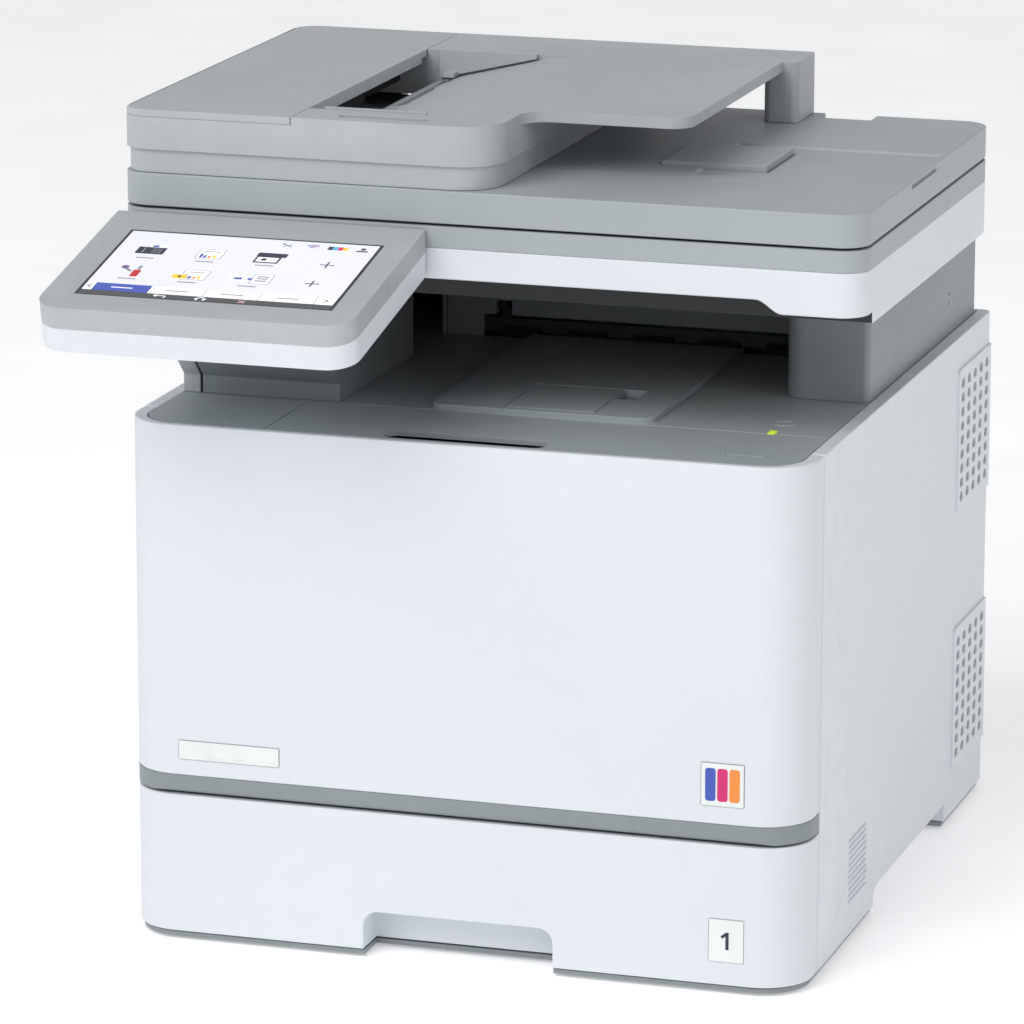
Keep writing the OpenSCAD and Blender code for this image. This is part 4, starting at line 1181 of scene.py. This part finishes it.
@dataclass
class Display:
    """The lit field of the control panel with generic marks.

    Sheet u runs to the right and v towards the hinge, from the front left
    corner of the glass.
    """

    width: float = 153.2
    height: float = 93.2
    tilt: float = 12.0
    layer: float = 0.035
    border: float = 1.5
    strip: float = 6.6
    tabs: float = 10.4
    tab_edges: Tuple[float, ...] = (7.6, 40.8, 73.8, 106.8, 140.0)
    chosen_tab: int = 1
    arrows: Spot = (4.6, 146.2)
    columns: Tuple[float, ...] = (22.0, 58.2, 94.3, 130.0)
    rows: Spot = (65.4, 35.4)
    status: float = 84.6
    keys: Tuple[float, float, float] = (49.0, 74.2, 98.8)
    glow: float = 0.28

    def _marking(self, colour: Marking) -> Printed:
        """The lit finish of a marking colour."""
        return marking(colour, "display_glass", self.glow)

    def _place(self) -> Matrix:
        """Takes sheet millimetres onto the glass, from its box in the frame."""
        low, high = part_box("display_glass")
        lean = math.radians(self.tilt)
        cosine, sine = math.cos(lean), math.sin(lean)
        deep, tall = high.y - low.y, high.z - low.z
        thick = (tall * cosine - deep * sine) / (cosine**2 - sine**2)
        rear = Vector((low.x, high.y - thick * sine, high.z))
        along = Vector((0, cosine, sine))
        front = rear - along * (self.height * MM)
        turn = Matrix.Rotation(lean, 4, "X")
        return Matrix.Translation(front) @ turn @ Matrix.Scale(MM, 4)

    def _layout(self) -> Tuple[Tuple[float, float, Sequence[object]], ...]:
        """Where each picture goes, in the order they are laid."""
        first, second, third, last = self.columns
        high, low = self.rows
        keys = zip(self.keys, (BACK_KEY, HOME_KEY, STOP_KEY))
        key_level = self.strip / 2 + 0.2
        return (
            (0, self.status, STATUS_MARKS),
            (first, high, COPY_PICTURE),
            (second, high, PAGE_PICTURE),
            (third, high, SCAN_PICTURE),
            (last, high - 4.4, PLUS_PICTURE),
            (last, low - 1.4, PLUS_PICTURE),
            (first, low, TOOL_PICTURE),
            (second + 1.4, low, PAGE_PICTURE),
            (second, low, TAG_PICTURE),
            (third, low, LIST_PICTURE),
            *((u, v, CAPTION) for u in (first, second, third) for v in (high, low)),
            *self._tab_marks(),
            *((u, key_level, marks) for u, marks in keys),
        )

    def build(self, effects: Effects) -> None:
        """Lays out the field, the pictures, the tabs and the key strip."""
        sheet = Sheet(self._place(), self.layer, effects)
        self._ground(sheet)
        for u, v, marks in self._layout():
            for mark in marks:
                mark.lay(sheet, (u, v), self._marking(mark.ink))
        sheet.finish("display", "control_panel")

    def _ground(self, sheet: Sheet) -> None:
        """The pale field and the dark key strip."""
        low = self.strip + self.tabs
        inner = self.width - 2 * self.border
        high = self.height - self.border
        sheet.tile(
            self._marking(Marking.FIELD),
            (self.width / 2, (low + high) / 2),
            (inner, high - low),
            corner=0.4,
        )
        sheet.tile(
            self._marking(Marking.STRIP),
            (self.width / 2, self.strip / 2 + 0.3),
            (inner, self.strip - 0.6),
            corner=1.2,
        )

    def _tab_marks(self) -> List[Tuple[float, float, Sequence[object]]]:
        """The page tabs above the key strip, and the arrows at their ends."""
        level = self.strip + self.tabs / 2
        edges = (self.border, *self.tab_edges, self.width - self.border)
        rows = []
        for index, (start, end) in enumerate(zip(edges, edges[1:])):
            chosen = index == self.chosen_tab
            size = (end - start - 0.35, self.tabs - 0.3)
            marks = [Tile(M.BLUE if chosen else M.PAPER, (0, 0), size, 0, 0.3)]
            if 1 <= index <= 4:
                ink = M.PAPER if chosen else M.GREY
                marks.append(Tile(ink, (0, 0), (13.0, 1.2), 1, 0.4))
            rows.append(((start + end) / 2, level, marks))
        for centre, way in zip(self.arrows, (1, -1)):
            marks = [
                Tile(M.INK, (0, side * 0.95), (3.2, 0.7), 1, 0.3, way * side * 40)
                for side in (1, -1)
            ]
            rows.append((centre, level, marks))
        return rows


# ---------------------------------------------------- plates and small parts


@dataclass
class FrontMarks:
    """The tray number, a strip of colour samples and the blank name plate."""

    number_height: float = 10.4
    stroke: float = 1.9
    badge: Spot = (158.3, 124.4)
    badge_size: float = 21.4
    name_plate: Spot = (-139.7, 116.5)
    name_size: Spot = (57.0, 7.4)
    name_rim: float = 0.5
    layer: float = 0.12

    def build(self, effects: Effects) -> None:
        """Makes the marks on the drawer and on the front cover."""
        low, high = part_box("drawer_number_plate")
        centre = (low + high) / 2
        number = Sheet(
            face_matrix(Axis.FRONT, (centre.x, low.y, centre.z)), self.layer, effects
        )
        ink = marking(Marking.INK, "badge_plate", 0.0)
        number.tile(ink, (0.6, 0), (self.stroke, self.number_height), corner=0.3)
        number.tile(
            ink,
            (-1.1, self.number_height / 2 - 1.9),
            (4.2, self.stroke * 0.85),
            1,
            0.3,
            38,
        )
        number.finish("tray_number", "drawer")
        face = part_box("front_badges")[0].y
        samples = Sheet(face_matrix(Axis.FRONT, (0, face, 0)), self.layer, effects)
        inks = (Marking.BLUE, Marking.ROSE, Marking.ORANGE)
        share = self.badge_size / len(inks)
        for index, colour in enumerate(inks):
            samples.tile(
                marking(colour, "badge_plate", 0.0),
                (self.badge[0] + (index - 1) * share, self.badge[1]),
                (share - 1.0, self.badge_size - 2.0),
                corner=1.6,
            )
        wide, tall = self.name_size
        across, up = self.name_plate
        rim = self.name_rim
        for side in (1, -1):
            level, edge = up + side * tall / 2, across + side * wide / 2
            samples.tile(PLATE, (across, level), (wide, rim), corner=0.2)
            samples.tile(PLATE, (edge, up), (rim, tall), corner=0.2)
        samples.finish("cover_samples", "front_cover")


@dataclass
class ScanBed:
    """The white backing sheet and the size scale beside the glass."""

    backing_gap: float = 0.25
    backing: float = 0.9
    margin: float = 6.0
    ticks: int = 22

    def build(self, effects: Effects) -> None:
        """Makes the backing under the cover and the printed scale."""
        low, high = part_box("platen_glass")
        cover_low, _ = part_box("platen_cover")
        top = cover_low.z / MM + self.backing_gap
        wide = (high.x - low.x) / MM - 2 * self.margin
        deep = (high.y - low.y) / MM - 2 * self.margin
        middle = (low + high) / 2
        pad = Sheet(
            face_matrix(Axis.UP, (middle.x, middle.y, (top - self.backing) * MM)),
            self.backing,
            effects,
        )
        paper = marking(Marking.PAPER, "light_grey", 0.0)
        pad.tile(paper, (0, 0), (wide, deep), 0, 3.0)
        pad.finish("backing_sheet", "platen_cover")
        trim_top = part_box("scanner_trim")[1].z
        scale = Sheet(face_matrix(Axis.UP, (low.x, middle.y, trim_top)), 0.08, effects)
        ink = marking(Marking.INK, "light_grey", 0.0)
        scale.tile(paper, (-6.5, 0), (9.0, deep), 0, 0.6)
        for index in range(self.ticks):
            level = (index - (self.ticks - 1) / 2) * (deep - 8) / (self.ticks - 1)
            long = 4.4 if index % 5 == 0 else 2.4
            scale.tile(ink, (-2.4 - long / 2, level), (long, 0.4), 1, 0.1)
        scale.finish("size_scale", "cabinet")


# ------------------------------------------------------------------- studio


@dataclass
class Studio:
    """The floor, the soft lights and the camera."""

    eye: Tuple[float, float, float] = (1.0107, -3.3438, 1.0813)
    yaw: float = -17.43
    pitch: float = -13.88
    roll: float = 0.11
    lens: float = 208.41
    aim: Tuple[float, float, float] = (0, 0, 0.25)
    ambient: float = 0.5
    key: float = 112.0
    key_spot: Tuple[float, float, float] = (-1.3, -3.1, 3.3)
    key_size: float = 3.0
    fill_share: float = 0.18
    fill_spot: Tuple[float, float, float] = (3.4, -1.2, 1.9)
    fill_size: float = 2.4
    floor_radius: float = 14.0
    floor_glow: float = 0.34

    def build(self, effects: Effects) -> None:
        """Sets the stage."""
        self._floor(effects)
        self._lights()
        self._camera()

    def _floor(self, effects: Effects) -> None:
        """A wide pale floor with a rounded rim."""
        bpy.ops.object.select_all(action="DESELECT")
        bpy.ops.mesh.primitive_cylinder_add(
            vertices=96,
            radius=self.floor_radius,
            depth=0.02,
            location=(0, 0, -0.0102),
        )
        floor = bpy.context.object
        floor.name = "studio_floor"
        choose(floor, "FACE", lambda face: face.normal.z > FACES_UP)
        with editing():
            bpy.ops.mesh.bevel(offset=0.004, segments=2, affect="EDGES")
        bpy.ops.object.transform_apply(location=True, rotation=False, scale=False)
        shade = (0.93, 0.93, 0.93)
        glow = self.floor_glow
        pale = Printed("pale_floor", "body_white", shade, rough=0.8, lit=glow)
        dress(floor, pale, effects)

    def _lights(self) -> None:
        """A large key at the front left, a weak fill and an even sky."""
        world = bpy.data.worlds.new("studio_sky")
        world.use_nodes = True
        sky = world.node_tree.nodes["Background"]
        sky.inputs["Color"].default_value = (0.97, 0.985, 1.0, 1.0)
        sky.inputs["Strength"].default_value = self.ambient
        bpy.context.scene.world = world
        lamps = (
            ("key", self.key_spot, self.key, self.key_size),
            ("fill", self.fill_spot, self.key * self.fill_share, self.fill_size),
        )
        for name, spot, power, size in lamps:
            lamp = bpy.data.lights.new(f"studio_{name}", "AREA")
            lamp.energy = power
            lamp.size = size
            stand = bpy.data.objects.new(f"studio_{name}", lamp)
            bpy.context.scene.collection.objects.link(stand)
            stand.location = spot
            aim = Vector(self.aim) - Vector(spot)
            stand.rotation_euler = aim.to_track_quat("-Z", "Y").to_euler()

    def _camera(self) -> None:
        """The camera, aimed by its yaw, pitch and roll."""
        camera = bpy.data.cameras.new("studio_camera")
        camera.lens = self.lens
        camera.sensor_width = 36.0
        camera.clip_end = 100.0
        stand = bpy.data.objects.new("studio_camera", camera)
        bpy.context.scene.collection.objects.link(stand)
        yaw, pitch = math.radians(self.yaw), math.radians(self.pitch)
        ahead = Vector(
            (
                math.sin(yaw) * math.cos(pitch),
                math.cos(yaw) * math.cos(pitch),
                math.sin(pitch),
            )
        )
        turn = ahead.to_track_quat("-Z", "Y").to_matrix().to_4x4()
        stand.matrix_world = (
            Matrix.Translation(self.eye)
            @ turn
            @ Matrix.Rotation(math.radians(self.roll), 4, "Z")
        )
        bpy.context.scene.camera = stand
        bpy.context.scene.view_settings.view_transform = "Standard"


def main() -> None:
    """Builds the stage, the housings and the details in order."""
    logging.basicConfig(level=logging.INFO, format="%(name)s %(message)s")
    effects = Effects(moulded_grain(), edge_wear(), settled_dust(), drawn_streaks())
    for assembly in (Studio(), Housings(), Display(), FrontMarks(), ScanBed()):
        assembly.build(effects)
        LOG.info("%s done", type(assembly).__name__)


if __name__ == "__main__":
    main()
